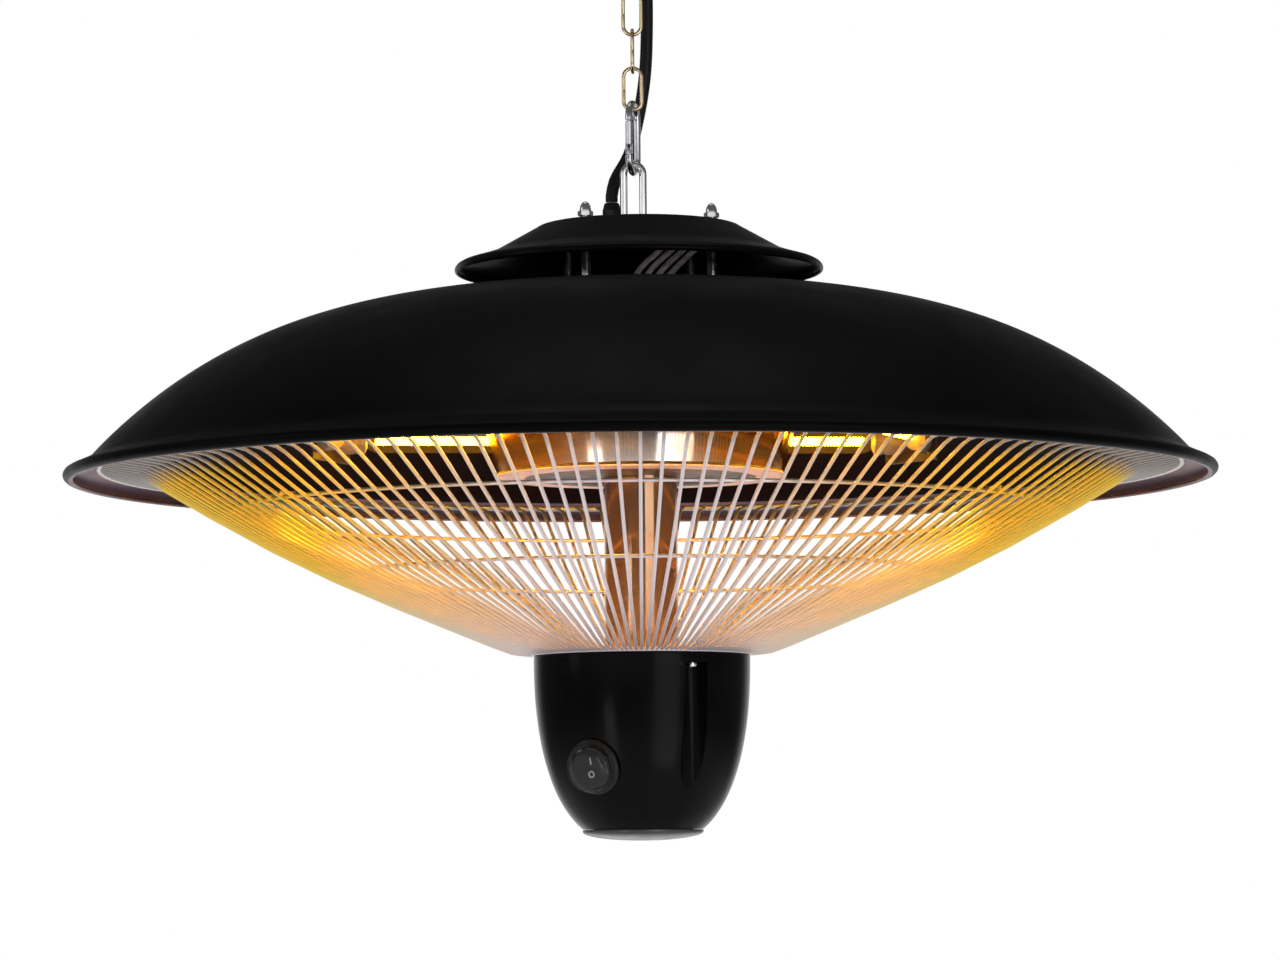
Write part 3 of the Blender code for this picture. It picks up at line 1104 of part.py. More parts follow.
def build():
    tidy_start()
    FINISH.update(finishes())
    ceiling_pieces()

    side_axis = empty("swing_side_axis", (0, 0, DATUM + HOOK_BAR))
    chain_link(LINKS, side_axis, HOOK_BAR)
    front_axis = empty("swing_front_axis", (0, 0, SWING_FRONT_HEIGHT - HOOK_BAR), side_axis)
    for number in range(1, LINKS):
        chain_link(number, front_axis, SWING_FRONT_HEIGHT)
    snap_hook(front_axis, SWING_FRONT_HEIGHT)

    rock_axis = empty("heater_rock_axis", (0, 0, ROCK_HEIGHT - SWING_FRONT_HEIGHT), front_axis)
    heater = empty("heater_frame", (HANG_OFFSET, 0, -ROCK_HEIGHT), rock_axis)
    lead_pieces(heater, ROCK_HEIGHT, front_axis, SWING_FRONT_HEIGHT)
    hanging_bow(heater)
    cap_pieces(heater)
    posts(heater)
    cable_gland(heater)
    dome_piece(heater)
    inner_pieces(heater)
    lamps(heater)
    grille(heater)
    pod = pod_pieces(heater)
    switch_pieces(heater, pod)
    wiring(heater)


build()
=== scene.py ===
"""Looks of the hanging electric patio heater: a black domed shade and vented cap on a chain, three lit
quartz lamps round a polished reflector, a bowl of radial wires, and a gloss pod with its switch.

Metres, +Z up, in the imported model's frame. On the heater itself heights are measured from the bottom
edge of its pod, round the heater's own axis.
"""
import math

import bmesh
import bpy
from mathutils import Matrix, Vector


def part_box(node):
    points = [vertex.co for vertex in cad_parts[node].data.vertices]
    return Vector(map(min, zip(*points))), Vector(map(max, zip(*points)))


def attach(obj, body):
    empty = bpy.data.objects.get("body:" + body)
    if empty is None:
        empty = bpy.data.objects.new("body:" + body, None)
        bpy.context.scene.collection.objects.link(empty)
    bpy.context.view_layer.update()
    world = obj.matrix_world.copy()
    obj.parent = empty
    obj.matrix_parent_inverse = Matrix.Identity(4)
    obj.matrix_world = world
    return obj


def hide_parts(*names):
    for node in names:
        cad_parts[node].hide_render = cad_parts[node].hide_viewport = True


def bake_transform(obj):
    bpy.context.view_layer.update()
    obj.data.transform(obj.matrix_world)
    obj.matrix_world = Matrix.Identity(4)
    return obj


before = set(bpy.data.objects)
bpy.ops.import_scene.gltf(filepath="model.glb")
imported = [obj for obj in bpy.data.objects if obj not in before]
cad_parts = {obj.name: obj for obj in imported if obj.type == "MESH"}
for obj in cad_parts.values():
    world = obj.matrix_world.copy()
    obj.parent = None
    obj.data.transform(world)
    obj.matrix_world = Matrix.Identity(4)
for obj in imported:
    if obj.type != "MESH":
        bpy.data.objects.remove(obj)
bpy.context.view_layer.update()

MM = 0.001


def moved(x, y, z=0.0):
    return Matrix.Translation((x, y, z))


def turned(angle, axis="Z"):
    return Matrix.Rotation(angle, 4, axis)


def aimed(way, axis="Z"):
    """Turns an axis to a direction."""
    return Vector(way).to_track_quat(axis, "Y").to_matrix().to_4x4()


DATUM = -583.7 * MM         # pod's bottom edge below the ceiling plate's top
ASIDE = 2.6 * MM            # heater's axis to +X of the chain
HEATER = moved(ASIDE, 0, DATUM)
CHAIN = moved(0, 0, DATUM)
SIDEWAYS = turned(math.pi / 2, "Y")         # lays Z along X
BACKWARDS = turned(-math.pi / 2, "X")       # lays Z along Y


# Shader nodes
def node(tree, kind, feeds, output=0, **settings):
    """One output of a new node, whose inputs take other nodes' outputs or plain values."""
    made = tree.nodes.new(kind)
    for name, setting in settings.items():
        setattr(made, name, setting)
    for name, feed in feeds.items():
        if isinstance(feed, bpy.types.NodeSocket):
            tree.links.new(feed, made.inputs[name])
        else:
            made.inputs[name].default_value = feed
    return made.outputs[output]


def calculated(tree, operation, *values):
    return node(tree, "ShaderNodeMath", dict(enumerate(values)), operation=operation)


def spread(tree, value, start, stop, low, high, easing="SMOOTHSTEP"):
    """The range from start to stop turned into that from low to high."""
    feeds = {"Value": value, "From Min": start, "From Max": stop, "To Min": low, "To Max": high}
    return node(tree, "ShaderNodeMapRange", feeds, "Result", interpolation_type=easing)


# Finishes
UNLIT_EDGE = DATUM + 176 * MM, DATUM + 182 * MM      # heights over which painted lamp light on metal gives way to a painted unlit grey


class Finish:
    """A principled material whose colour, gloss and relief are broken up by noise in object space."""

    def __init__(self, name, colour, rough, metallic=0.0):
        self.material = bpy.data.materials.new(name)
        self.material.use_nodes = True
        self.tree = self.material.node_tree
        self.shader = self.tree.nodes["Principled BSDF"]
        self.colour = (*colour, 1.0)
        self.rough = rough
        self.put("Base Color", self.colour).put("Roughness", rough).put("Metallic", metallic)

    def put(self, socket, value):
        self.shader.inputs[socket].default_value = value
        return self

    def drive(self, socket, source):
        self.tree.links.new(source, self.shader.inputs[socket])
        return self

    def place(self):
        return node(self.tree, "ShaderNodeTexCoord", {}, "Object")

    def along(self, axis):
        return node(self.tree, "ShaderNodeSeparateXYZ", {0: self.place()}, axis)

    def noise(self, scale, detail, stretch=(1, 1, 1)):
        """A noise's value, finer along the axes with a larger stretch."""
        place = node(self.tree, "ShaderNodeMapping", {"Vector": self.place(), "Scale": stretch})
        feeds = {"Vector": place, "Scale": scale, "Detail": detail}
        return node(self.tree, "ShaderNodeTexNoise", feeds, "Fac")

    def between(self, value, start, stop, low=0.0, high=1.0):
        return spread(self.tree, value, start, stop, low, high, "LINEAR")

    def mixed(self, share, colour, other):
        return node(self.tree, "ShaderNodeMix", {0: share, 6: colour, 7: other}, 2, data_type="RGBA")

    def mottle(self, other, scale, stretch=(1, 1, 1)):
        """Colour that wanders towards another one."""
        share = self.between(self.noise(scale, 4, stretch), 0.35, 0.65)
        return self.drive("Base Color", self.mixed(share, self.colour, (*other, 1)))

    def uneven(self, amount, scale, stretch=(1, 1, 1)):
        """Gloss that wanders."""
        low, high = max(0.02, self.rough - amount), min(1.0, self.rough + amount)
        return self.drive("Roughness", self.between(self.noise(scale, 4, stretch), 0.3, 0.7, low, high))

    def relief(self, scale, depth, strength):
        """A fine bump."""
        feeds = {"Strength": strength, "Distance": depth, "Height": self.noise(scale, 2)}
        return self.drive("Normal", node(self.tree, "ShaderNodeBump", feeds, "Normal"))

    def brushed(self, amount):
        """Fine grain that runs round the heater's axis, so that lights smear up and down across it."""
        grain = node(self.tree, "ShaderNodeTangent", {}, "Tangent", direction_type="RADIAL", axis="Z")
        return self.drive("Tangent", grain).put("Anisotropic", amount).put("Anisotropic Rotation", 0.25)

    def painted_lamp_light(self, lamp_lit, near, far, unlit=None):
        """Painted lamp light: colour that turns lamp-lit on both sides of the heater, away from its middle in
        X, and can turn a painted unlit grey by the shade's edge.
        """
        away = calculated(self.tree, "ABSOLUTE", self.along("X"))
        ragged = calculated(self.tree, "MULTIPLY_ADD", self.noise(9, 3), 0.6 * near, away)
        tint = self.mixed(self.between(ragged, near, far), self.colour, (*lamp_lit, 1))
        if unlit:
            tint = self.mixed(self.between(self.along("Z"), *UNLIT_EDGE), tint, (*unlit, 1))
        return self.drive("Base Color", tint)

    def glow(self, colour, strength):
        return self.put("Emission Color", (*colour, 1.0)).put("Emission Strength", strength)


PAINT = Finish("satin_black_paint", (0.0016, 0.0016, 0.0017), 0.40)
PAINT.mottle((0.0027, 0.0026, 0.0028), 14).uneven(0.05, 30).relief(900, 0.03 * MM, 0.2).put("IOR", 1.11)
CAP_PAINT = Finish("cap_black_paint", (0.0018, 0.0018, 0.0019), 0.34)
CAP_PAINT.mottle((0.0032, 0.0030, 0.0032), 22).uneven(0.05, 40).relief(900, 0.03 * MM, 0.2).put("IOR", 1.14)
# the red-brown tint inside the shade is painted lamp light on black paint
INSIDE = Finish("black_paint_inside", (0.0045, 0.0015, 0.0012), 0.5)
INSIDE.mottle((0.0075, 0.0024, 0.0018), 9).uneven(0.08, 24).relief(700, 0.06 * MM, 0.4).put("IOR", 1.15)
# the purple-grey under the shade's flange is a painted reflection of the pale ground on black paint
UNDERSIDE_SHEEN = Finish("painted_sheen_under_flange", (0.190, 0.130, 0.170), 0.45)
UNDERSIDE_SHEEN.mottle((0.140, 0.095, 0.125), 16).uneven(0.06, 40).relief(900, 0.04 * MM, 0.3).put("IOR", 1.3)
# the golden sides are painted lamp light; the grey by the shade's edge is painted shade where no lamp light
# reaches
WIRE = Finish("plated_grille_wire", (0.86, 0.76, 0.79), 0.32, 0.55)
WIRE.painted_lamp_light((1.0, 0.68, 0.08), 60 * MM, 190 * MM, (0.42, 0.40, 0.39))
# the reflector's orange sides are a painted reflection of the lit lamps and wires
MIRROR = Finish("spun_aluminium", (0.94, 0.90, 0.88), 0.14, 1.0)
MIRROR.brushed(0.5).painted_lamp_light((0.98, 0.46, 0.08), 14 * MM, 48 * MM).uneven(0.05, 60, (0.1, 0.1, 2))
LIP = Finish("satin_rolled_edge", (0.78, 0.60, 0.56), 0.45, 0.3)
LIP.mottle((0.66, 0.50, 0.46), 60).uneven(0.08, 90)
# the tube's copper colour and its upright bands are painted reflections of the lit lamps
TUBE = Finish("drawn_tube", (0.66, 0.42, 0.26), 0.11, 1.0)
TUBE.mottle((0.52, 0.31, 0.18), 40, (1, 1, 0.1)).uneven(0.05, 90, (1, 1, 0.1))
CHROME = Finish("bright_chrome", (0.86, 0.86, 0.87), 0.13, 1.0)
CHROME.mottle((0.78, 0.77, 0.78), 180).uneven(0.04, 260)
ZINC = Finish("zinc_plate", (0.80, 0.81, 0.83), 0.22, 1.0)
ZINC.mottle((0.66, 0.67, 0.70), 160).uneven(0.06, 240)
BRASSY = Finish("yellow_passivated_links", (0.92, 0.74, 0.46), 0.20, 1.0)
BRASSY.mottle((0.78, 0.60, 0.38), 90).uneven(0.06, 240)
STEEL = Finish("galvanised_sheet", (0.50, 0.50, 0.51), 0.38, 1.0)
STEEL.mottle((0.38, 0.38, 0.40), 110).uneven(0.1, 130).relief(500, 0.03 * MM, 0.2)
BLUED = Finish("heat_darkened_steel", (0.030, 0.022, 0.020), 0.5, 0.4)
BLUED.mottle((0.050, 0.034, 0.028), 70).uneven(0.1, 130).relief(500, 0.05 * MM, 0.3)
POD = Finish("gloss_black_pod", (0.0024, 0.0024, 0.0028), 0.20)
POD.mottle((0.0042, 0.0042, 0.0050), 26).uneven(0.04, 40).put("IOR", 1.17)
PLASTIC = Finish("black_moulded_plastic", (0.005, 0.005, 0.0055), 0.32)
PLASTIC.mottle((0.009, 0.009, 0.010), 90).uneven(0.08, 140).relief(1100, 0.03 * MM, 0.25).put("IOR", 1.36)
SMOKE = Finish("grey_end_cap", (0.060, 0.050, 0.056), 0.34)
SMOKE.mottle((0.045, 0.038, 0.044), 40).uneven(0.07, 90).relief(800, 0.04 * MM, 0.3)
RUBBER = Finish("black_lead_sheath", (0.005, 0.005, 0.005), 0.42)
RUBBER.mottle((0.009, 0.009, 0.009), 60).uneven(0.08, 120).relief(1400, 0.04 * MM, 0.3).put("IOR", 1.3)
MARK = Finish("grey_switch_marks", (0.62, 0.62, 0.64), 0.5)
MARK.mottle((0.52, 0.52, 0.54), 300)
QUARTZ = Finish("glowing_quartz", (0.020, 0.012, 0.004), 0.6)
QUARTZ.mottle((0.030, 0.016, 0.005), 60).glow((1.0, 0.42, 0.02), 1.6)
QUARTZ.put("Alpha", 0.04).put("Specular IOR Level", 0.0)
FILAMENT = Finish("hot_filament", (1.0, 0.7, 0.3), 0.5)
FILAMENT.mottle((1.0, 0.6, 0.25), 200).glow((1.0, 0.46, 0.010), 75.0)
CERAMIC = Finish("lamp_end_ceramic", (0.20, 0.17, 0.14), 0.60)
CERAMIC.mottle((0.14, 0.11, 0.09), 120).relief(900, 0.05 * MM, 0.4)
NYLON = Finish("terminal_block_nylon", (0.60, 0.59, 0.56), 0.45)
NYLON.mottle((0.50, 0.49, 0.46), 140).relief(900, 0.04 * MM, 0.3)
SLEEVE = Finish("woven_sleeve", (0.86, 0.79, 0.80), 0.65)
SLEEVE.mottle((0.60, 0.50, 0.51), 260).relief(1500, 0.10 * MM, 0.6)
CLEAR = Finish("clear_switch_boot", (0.020, 0.020, 0.022), 0.07)
CLEAR.mottle((0.030, 0.030, 0.033), 120).uneven(0.04, 200).put("Alpha", 0.16).put("IOR", 1.9)
NICKEL = Finish("nickel_pins", (0.74, 0.72, 0.68), 0.20, 1.0)
NICKEL.mottle((0.62, 0.60, 0.56), 200).uneven(0.06, 300)


# Making
def placed(name, data):
    """A new object in the scene."""
    made = bpy.data.objects.new(name, data)
    bpy.context.scene.collection.objects.link(made)
    return made


def mesh_from(name, bm):
    mesh = bpy.data.meshes.new(name)
    bm.to_mesh(mesh)
    bm.free()
    return mesh


def applied(piece):
    """A piece's mesh with its modifiers or its curve's bevel worked in."""
    bpy.context.view_layer.update()
    return bpy.data.meshes.new_from_object(piece.evaluated_get(bpy.context.evaluated_depsgraph_get()))


def smooth(mesh, bend):
    """Smooth shading, with sharp edges where faces bend by more degrees."""
    mesh.shade_smooth()
    mesh.set_sharp_from_angle(angle=math.radians(bend))


def settle(name, bm, finish, slot, cad_node, body="heater", place=None, bend=40, wall=0.0):
    """Turn a bmesh into a finished piece at the origin, on its body, in place of a CAD node."""
    bmesh.ops.remove_doubles(bm, verts=bm.verts, dist=0.004 * MM)
    bmesh.ops.recalc_face_normals(bm, faces=bm.faces)
    if place is not None:
        bmesh.ops.transform(bm, matrix=place, verts=bm.verts)
    piece = placed(name, mesh_from(name, bm))
    smooth(piece.data, bend)
    finishes = finish if isinstance(finish, list) else [finish]
    for one in finishes:
        piece.data.materials.append(one.material)
    if wall:
        skin = piece.modifiers.new("wall", "SOLIDIFY")
        skin.thickness = wall
        skin.offset = -1
        skin.use_even_offset = True
        if len(finishes) > 1:
            skin.material_offset = 1        # inner side takes the finish after its outer side's
            skin.material_offset_rim = 0
    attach(piece, body)
    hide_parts(cad_node)
    return piece


def in_mm(points):
    return [(radius * MM, height * MM) for radius, height in points]


def row(bm, points, closed=False):
    """A row of joined points to spin or extrude."""
    verts = [bm.verts.new(p) for p in points]
    edges = [bm.edges.new(pair) for pair in zip(verts, verts[1:])]
    if closed:
        edges.append(bm.edges.new((verts[-1], verts[0])))
    return verts, edges


def verts_in(geom):
    return [part for part in geom if isinstance(part, bmesh.types.BMVert)]


def lathe(bm, outline, steps, closed=False, place=None):
    """Spin an outline of (radius, height) points round Z."""
    before = set(bm.verts)
    verts, edges = row(bm, [(r, 0, h) for r, h in outline], closed)
    bmesh.ops.spin(bm, geom=verts + edges, cent=(0, 0, 0), axis=(0, 0, 1), dvec=(0, 0, 0), angle=math.tau,
                   steps=steps, use_merge=True)
    made = [v for v in bm.verts if v not in before]
    bmesh.ops.remove_doubles(bm, verts=made, dist=0.001 * MM)
    made = [v for v in bm.verts if v not in before]
    if place is not None:
        bmesh.ops.transform(bm, matrix=place, verts=made)
    return made


def lathed(name, outline, steps, *rest, closed=False, **options):
    """A settled piece that is one lathed shape."""
    bm = bmesh.new()
    lathe(bm, outline, steps, closed)
    return settle(name, bm, *rest, **options)


def rounded(outline, reach, parts=4):
    """An outline with each inner corner rounded off over a reach."""
    rows = [Vector(p) for p in outline]
    soft = [rows[0]]
    for before, corner, after in zip(rows, rows[1:], rows[2:]):
        cut = min(reach, 0.45 * (corner - before).length, 0.45 * (after - corner).length)
        a = corner + (before - corner).normalized() * cut
        b = corner + (after - corner).normalized() * cut
        for k in range(parts + 1):
            t = k / parts
            soft.append(a * (1 - t) ** 2 + corner * 2 * t * (1 - t) + b * t ** 2)
    soft.append(rows[-1])
    return [(p.x, p.y) for p in soft]


def wire_section(radius, height, thick, sides):
    """The round section of a wire ring."""
    angles = [math.tau * k / sides for k in range(sides)]
    return [(radius + thick * math.cos(a), height + thick * math.sin(a)) for a in angles]


class Rod:
    """A round wire that grows from a ring: straight on, or round a bend."""

    def __init__(self, bm, radius, sides, at, along, cap=True):
        self.bm = bm
        made = bmesh.ops.create_circle(bm, segments=sides, radius=radius, cap_ends=False,
                                       matrix=moved(*at) @ aimed(along))
        self.ring = made["verts"]
        if cap:
            self.end()

    def edges(self):
        inside = set(self.ring)
        return list({e for v in self.ring for e in v.link_edges if all(w in inside for w in e.verts)})

    def straight(self, run, grow=1.0):
        self.ring = verts_in(bmesh.ops.extrude_edge_only(self.bm, edges=self.edges())["geom"])
        bmesh.ops.translate(self.bm, vec=run, verts=self.ring)
        if grow != 1.0:
            middle = sum((v.co for v in self.ring), Vector()) / len(self.ring)
            bmesh.ops.scale(self.bm, vec=(grow, grow, grow), verts=self.ring, space=moved(*-middle))
        return self

    def rise(self, height):
        return self.straight((0, 0, height))

    def bend(self, centre, axis, angle, steps):
        spun = bmesh.ops.spin(self.bm, geom=self.ring + self.edges(), cent=centre, axis=axis, dvec=(0, 0, 0),
                              angle=angle, steps=steps, use_merge=False)
        self.ring = verts_in(spun["geom_last"])
        return self

    def lean(self, at, before, after):
        """Turn the last ring from one direction to another."""
        matrix = before.rotation_difference(after).to_matrix()
        bmesh.ops.rotate(self.bm, cent=at, matrix=matrix, verts=self.ring)

    def end(self):
        bmesh.ops.contextual_create(self.bm, geom=self.ring)


def ease(bm, edges, width, segments=2):
    bmesh.ops.bevel(bm, geom=edges, offset=width, offset_type="OFFSET", segments=segments, profile=0.5,
                    affect="EDGES", material=-1)


def drum(bm, radius, low, high, sides, place=None, bevel=0.0, turn=0.0):
    """An upright cylinder or prism with its rims eased."""
    at = moved(0, 0, (low + high) / 2) @ turned(turn)
    at = at if place is None else place @ at
    made = bmesh.ops.create_cone(bm, cap_ends=True, segments=sides, radius1=radius, radius2=radius,
                                 depth=high - low, matrix=at)["verts"]
    if bevel:
        along = (at.to_3x3() @ Vector((0, 0, 1))).normalized()
        edges = list({e for v in made for e in v.link_edges})
        ways = [(e.verts[1].co - e.verts[0].co).normalized() for e in edges]
        ease(bm, [e for e, way in zip(edges, ways) if abs(way.dot(along)) < 0.3], bevel)


def brick(bm, size, at, bevel=0.0, place=None):
    """A box with eased edges."""
    spot = moved(*at) @ Matrix.Diagonal((*size, 1.0))
    spot = spot if place is None else place @ spot
    made = bmesh.ops.create_cube(bm, size=1.0, matrix=spot)["verts"]
    if bevel:
        ease(bm, list({e for v in made for e in v.link_edges}), bevel)


def carve(piece, tool_bm, operation="DIFFERENCE"):
    """Cut a piece with a bmesh shape, exactly, and keep the result as its mesh."""
    bmesh.ops.recalc_face_normals(tool_bm, faces=tool_bm.faces)
    tool = placed("tool", mesh_from("tool", tool_bm))
    step = piece.modifiers.new("carve", "BOOLEAN")
    step.operation = operation
    step.solver = "EXACT"
    step.object = tool
    fresh = applied(piece)
    piece.modifiers.remove(step)
    piece.data = fresh
    bpy.data.objects.remove(tool)


def bore(piece, radius, low, high, sides, place=None, operation="DIFFERENCE"):
    """Cut a round hole along a place's Z, or join a round bar."""
    tool = bmesh.new()
    drum(tool, radius, low, high, sides, place)
    carve(piece, tool, operation)


def carve_lathed(piece, outline, steps, operation):
    tool = bmesh.new()
    lathe(tool, outline, steps)
    carve(piece, tool, operation)


def at_turn(radius, turn, height=0.0):
    """A place at a radius; turn 0 is the front, and it grows towards +X."""
    return Vector((radius * math.sin(turn), -radius * math.cos(turn), height))


def smooth_route(points, step):
    """Evenly spaced points along a curve that runs smoothly through a row of points."""
    rows = [Vector(p) for p in points]
    rows = [2 * rows[0] - rows[1]] + rows + [2 * rows[-1] - rows[-2]]
    dense = []
    parts = 16
    for a, b, c, d in zip(rows, rows[1:], rows[2:], rows[3:]):
        for k in range(parts):
            t = k / parts
            dense.append(0.5 * (2 * b + (c - a) * t + (2 * a - 5 * b + 4 * c - d) * t ** 2
                                + (3 * b - a - 3 * c + d) * t ** 3))
    dense.append(rows[-2])
    lengths = [0.0]
    for a, b in zip(dense, dense[1:]):
        lengths.append(lengths[-1] + (b - a).length)
    count = max(2, round(lengths[-1] / step))
    spaced = []
    at = 0
    for k in range(count + 1):
        goal = lengths[-1] * k / count
        while at < len(dense) - 2 and lengths[at + 1] < goal:
            at += 1
        share = (goal - lengths[at]) / (lengths[at + 1] - lengths[at])
        spaced.append(dense[at].lerp(dense[at + 1], share))
    return spaced


def tube_curve(name, points, radius, finish, sides=4):
    """A round tube along a row of points, as a curve of one open spline."""
    curve = bpy.data.curves.new(name, "CURVE")
    curve.dimensions = "3D"
    curve.bevel_depth = radius
    curve.bevel_resolution = sides
    curve.use_fill_caps = True
    line = curve.splines.new("POLY")
    line.points.add(len(points) - 1)
    for point, place in zip(line.points, points):
        point.co = (*place, 1.0)
    line.use_smooth = True
    curve.materials.append(finish.material)
    return placed(name, curve)


# Camera, light and floor
def camera():
    """The photograph's view: from in front and a little below, looking slightly up."""
    photo_width, focal_length = 1280, 4867      # pixels
    rise, roll = 4.54, -0.44                    # degrees
    data = bpy.data.cameras.new("camera")
    data.sensor_width = 36.0
    data.lens = 36.0 * focal_length / photo_width
    data.clip_end = 40
    eye = placed("camera", data)
    look = turned(math.radians(90 + rise), "X") @ turned(math.radians(roll))
    eye.matrix_world = moved(2.3 * MM, -2.521, -602.9 * MM) @ look
    bpy.context.scene.camera = eye


def soft_light(name, place, aim, size, power):
    data = bpy.data.lights.new(name, "AREA")
    data.shape = "RECTANGLE"
    data.size, data.size_y = size
    data.energy = power
    lamp = placed(name, data)
    lamp.matrix_world = moved(*place) @ aimed(Vector(aim) - Vector(place), "-Z")


def either_ray(tree, *kinds):
    """1 for a ray of one or either of these kinds."""
    found = [node(tree, "ShaderNodeLightPath", {}, kind) for kind in kinds]
    return found[0] if len(found) == 1 else calculated(tree, "MAXIMUM", *found)


def chosen(tree, share, otherwise, shader):
    return node(tree, "ShaderNodeMixShader", {0: share, 1: otherwise, 2: shader})


def white(tree, kind, strength):
    return node(tree, kind, {"Color": (1, 1, 1, 1), "Strength": strength})


def studio():
    """White for the camera; polished metal meets a white backdrop, pale ground and a bright band in front."""
    world = bpy.data.worlds.new("studio")
    bpy.context.scene.world = world
    world.use_nodes = True
    tree = world.node_tree
    tree.nodes.remove(tree.nodes["Background"])
    around = node(tree, "ShaderNodeTexCoord", {}, "Generated")
    back, up = [node(tree, "ShaderNodeSeparateXYZ", {0: around}, axis) for axis in "YZ"]
    behind = spread(tree, back, 0.68, 0.99, 0.0, 0.90)
    low = spread(tree, up, 0.10, 0.34, 1.0, 0.0)
    ground = spread(tree, up, -0.45, -0.12, 0.70, 0.10)
    front = spread(tree, back, -0.75, -0.15, 0.85, 0.0)
    level = spread(tree, up, 0.03, 0.09, 0.0, 1.0)
    walls = calculated(tree, "MAXIMUM", behind, calculated(tree, "MULTIPLY", front, level))
    room = white(tree, "ShaderNodeBackground", calculated(tree, "MULTIPLY_ADD", walls, low, ground))
    soft = white(tree, "ShaderNodeBackground", 0.62)
    lit = chosen(tree, either_ray(tree, "Is Glossy Ray", "Is Transmission Ray"), soft, room)
    shown = chosen(tree, either_ray(tree, "Is Camera Ray"), lit, white(tree, "ShaderNodeBackground", 1.0))
    tree.links.new(shown, tree.nodes["World Output"].inputs["Surface"])

    bm = bmesh.new()
    bmesh.ops.create_circle(bm, cap_ends=True, segments=64, radius=1.3, matrix=moved(0, 0, -2.4))
    floor = placed("floor", mesh_from("floor", bm))
    pale = Finish("pale_floor", (0.86, 0.86, 0.86), 0.9)
    plain = pale.shader.outputs[0]
    tree = pale.tree
    glowing = node(tree, "ShaderNodeAddShader", {0: plain, 1: white(tree, "ShaderNodeEmission", 0.35)})
    shown = chosen(tree, either_ray(tree, "Is Camera Ray"), plain, glowing)
    tree.links.new(shown, tree.nodes["Material Output"].inputs["Surface"])
    floor.data.materials.append(pale.material)

    soft_light("overhead_softbox", (0.0, 0.2, 1.7), (0, 0, -0.3), (1.6, 0.8), 5)
    soft_light("right_softbox", (1.09, -2.14, -0.9), (0, 0, -0.45), (1.2, 2.0), 12)
    soft_light("left_softbox", (-1.41, -1.94, -1.4), (0, 0, -0.45), (0.5, 1.2), 4)
    soft_light("side_softbox", (-2.3, -0.6, 0.2), (0, 0, -0.35), (0.5, 1.2), 4)


# Chain, hooks and lead
WIRE_LINK, LINK_BEND, LINK_INNER, GAP = 1.0 * MM, 4.7 * MM, 20.2 * MM, 0.3 * MM
PITCH = LINK_INNER - GAP
SNAP_MIDDLE, FIRST_LINK = 360.0 * MM, 386.0 * MM
LAST_LINK = FIRST_LINK + 6 * PITCH
HOOK_WIRE = 2.5 * MM
HOOK_BAR = LAST_LINK + LINK_INNER / 2 - GAP - HOOK_WIRE
SNAP_TURN = math.radians(15)


def links():
    half = LINK_INNER / 2 + WIRE_LINK - LINK_BEND
    for number in range(1, 8):
        bm = bmesh.new()
        rod = Rod(bm, WIRE_LINK, 16, (LINK_BEND, 0, -half * 0.2), (0, 0, 1), cap=False)
        rod.rise(half * 0.2).rise(half)
        rod.bend((0, 0, half), (0, -1, 0), math.pi, 16)
        for share in (0.94, 0.06, 0.06, 0.94):
            rod.rise(-half * share)
        rod.bend((0, 0, -half), (0, -1, 0), math.pi, 16)
        rod.rise(half * 0.8)
        weld = [v for v in bm.verts if v.co.x < 0 and abs(v.co.z) < half * 0.01]
        bmesh.ops.scale(bm, vec=(0.94, 0.94, 1), verts=weld, space=moved(LINK_BEND, 0, 0))
        quarter = math.pi / 2 if number % 2 == 0 else 0.0
        place = CHAIN @ moved(0, 0, FIRST_LINK + (number - 1) * PITCH) @ turned(quarter)
        body = "top_link" if number == 7 else "chain"
        settle(f"link_{number}", bm, BRASSY, "brassy_steel", f"chain_link_{number}", body, place)


def snap_hook():
    bend, straight, wire = 8.1 * MM, 10.0 * MM, 1.9 * MM
    pivot = -7.9 * MM
    hook_frame = CHAIN @ moved(0, 0, SNAP_MIDDLE) @ turned(-SNAP_TURN)
    bm = bmesh.new()
    rod = Rod(bm, wire, 20, (0, -bend, -straight), (0, 0, -1))
    rod.bend((0, 0, -straight), (1, 0, 0), math.pi, 18)
    rod.rise(straight).rise(straight)
    rod.bend((0, 0, straight), (1, 0, 0), math.pi, 18)
    rod.rise(-1.2 * MM).straight((0, 0, -0.3 * MM), 0.85).end()
    brick(bm, (1.4 * MM, 2.6 * MM, 6.1 * MM), (0, -bend, -straight + 1.1 * MM), 0.3 * MM)
    settle("snap_hook_frame", bm, ZINC, "zinc_steel", "snap_hook_body", "chain", hook_frame)

    bm = bmesh.new()
    drum(bm, 0.6 * MM, -1.85 * MM, 1.85 * MM, 20, moved(0, -bend, pivot) @ SIDEWAYS, 0.15 * MM)
    settle("snap_pin", bm, ZINC, "zinc_steel", "snap_gate_pin", "chain", hook_frame)

    bm = bmesh.new()
    radius, low, high = 1.8 * MM, -9.1 * MM, 8.2 * MM
    foot = low + 4.9 * MM
    outline = [(0, foot), (radius, foot), (radius, high - 0.4 * MM), (1.4 * MM, high), (0, high)]
    lathe(bm, outline, 24, place=moved(0, -bend))
    for side in (-1, 1):
        brick(bm, (0.7 * MM, 2.5 * MM, 5.4 * MM), (side * 1.35 * MM, -bend, low + 2.7 * MM), 0.2 * MM)
    settle("snap_gate", bm, ZINC, "zinc_steel", "snap_hook_gate", "gate", hook_frame)


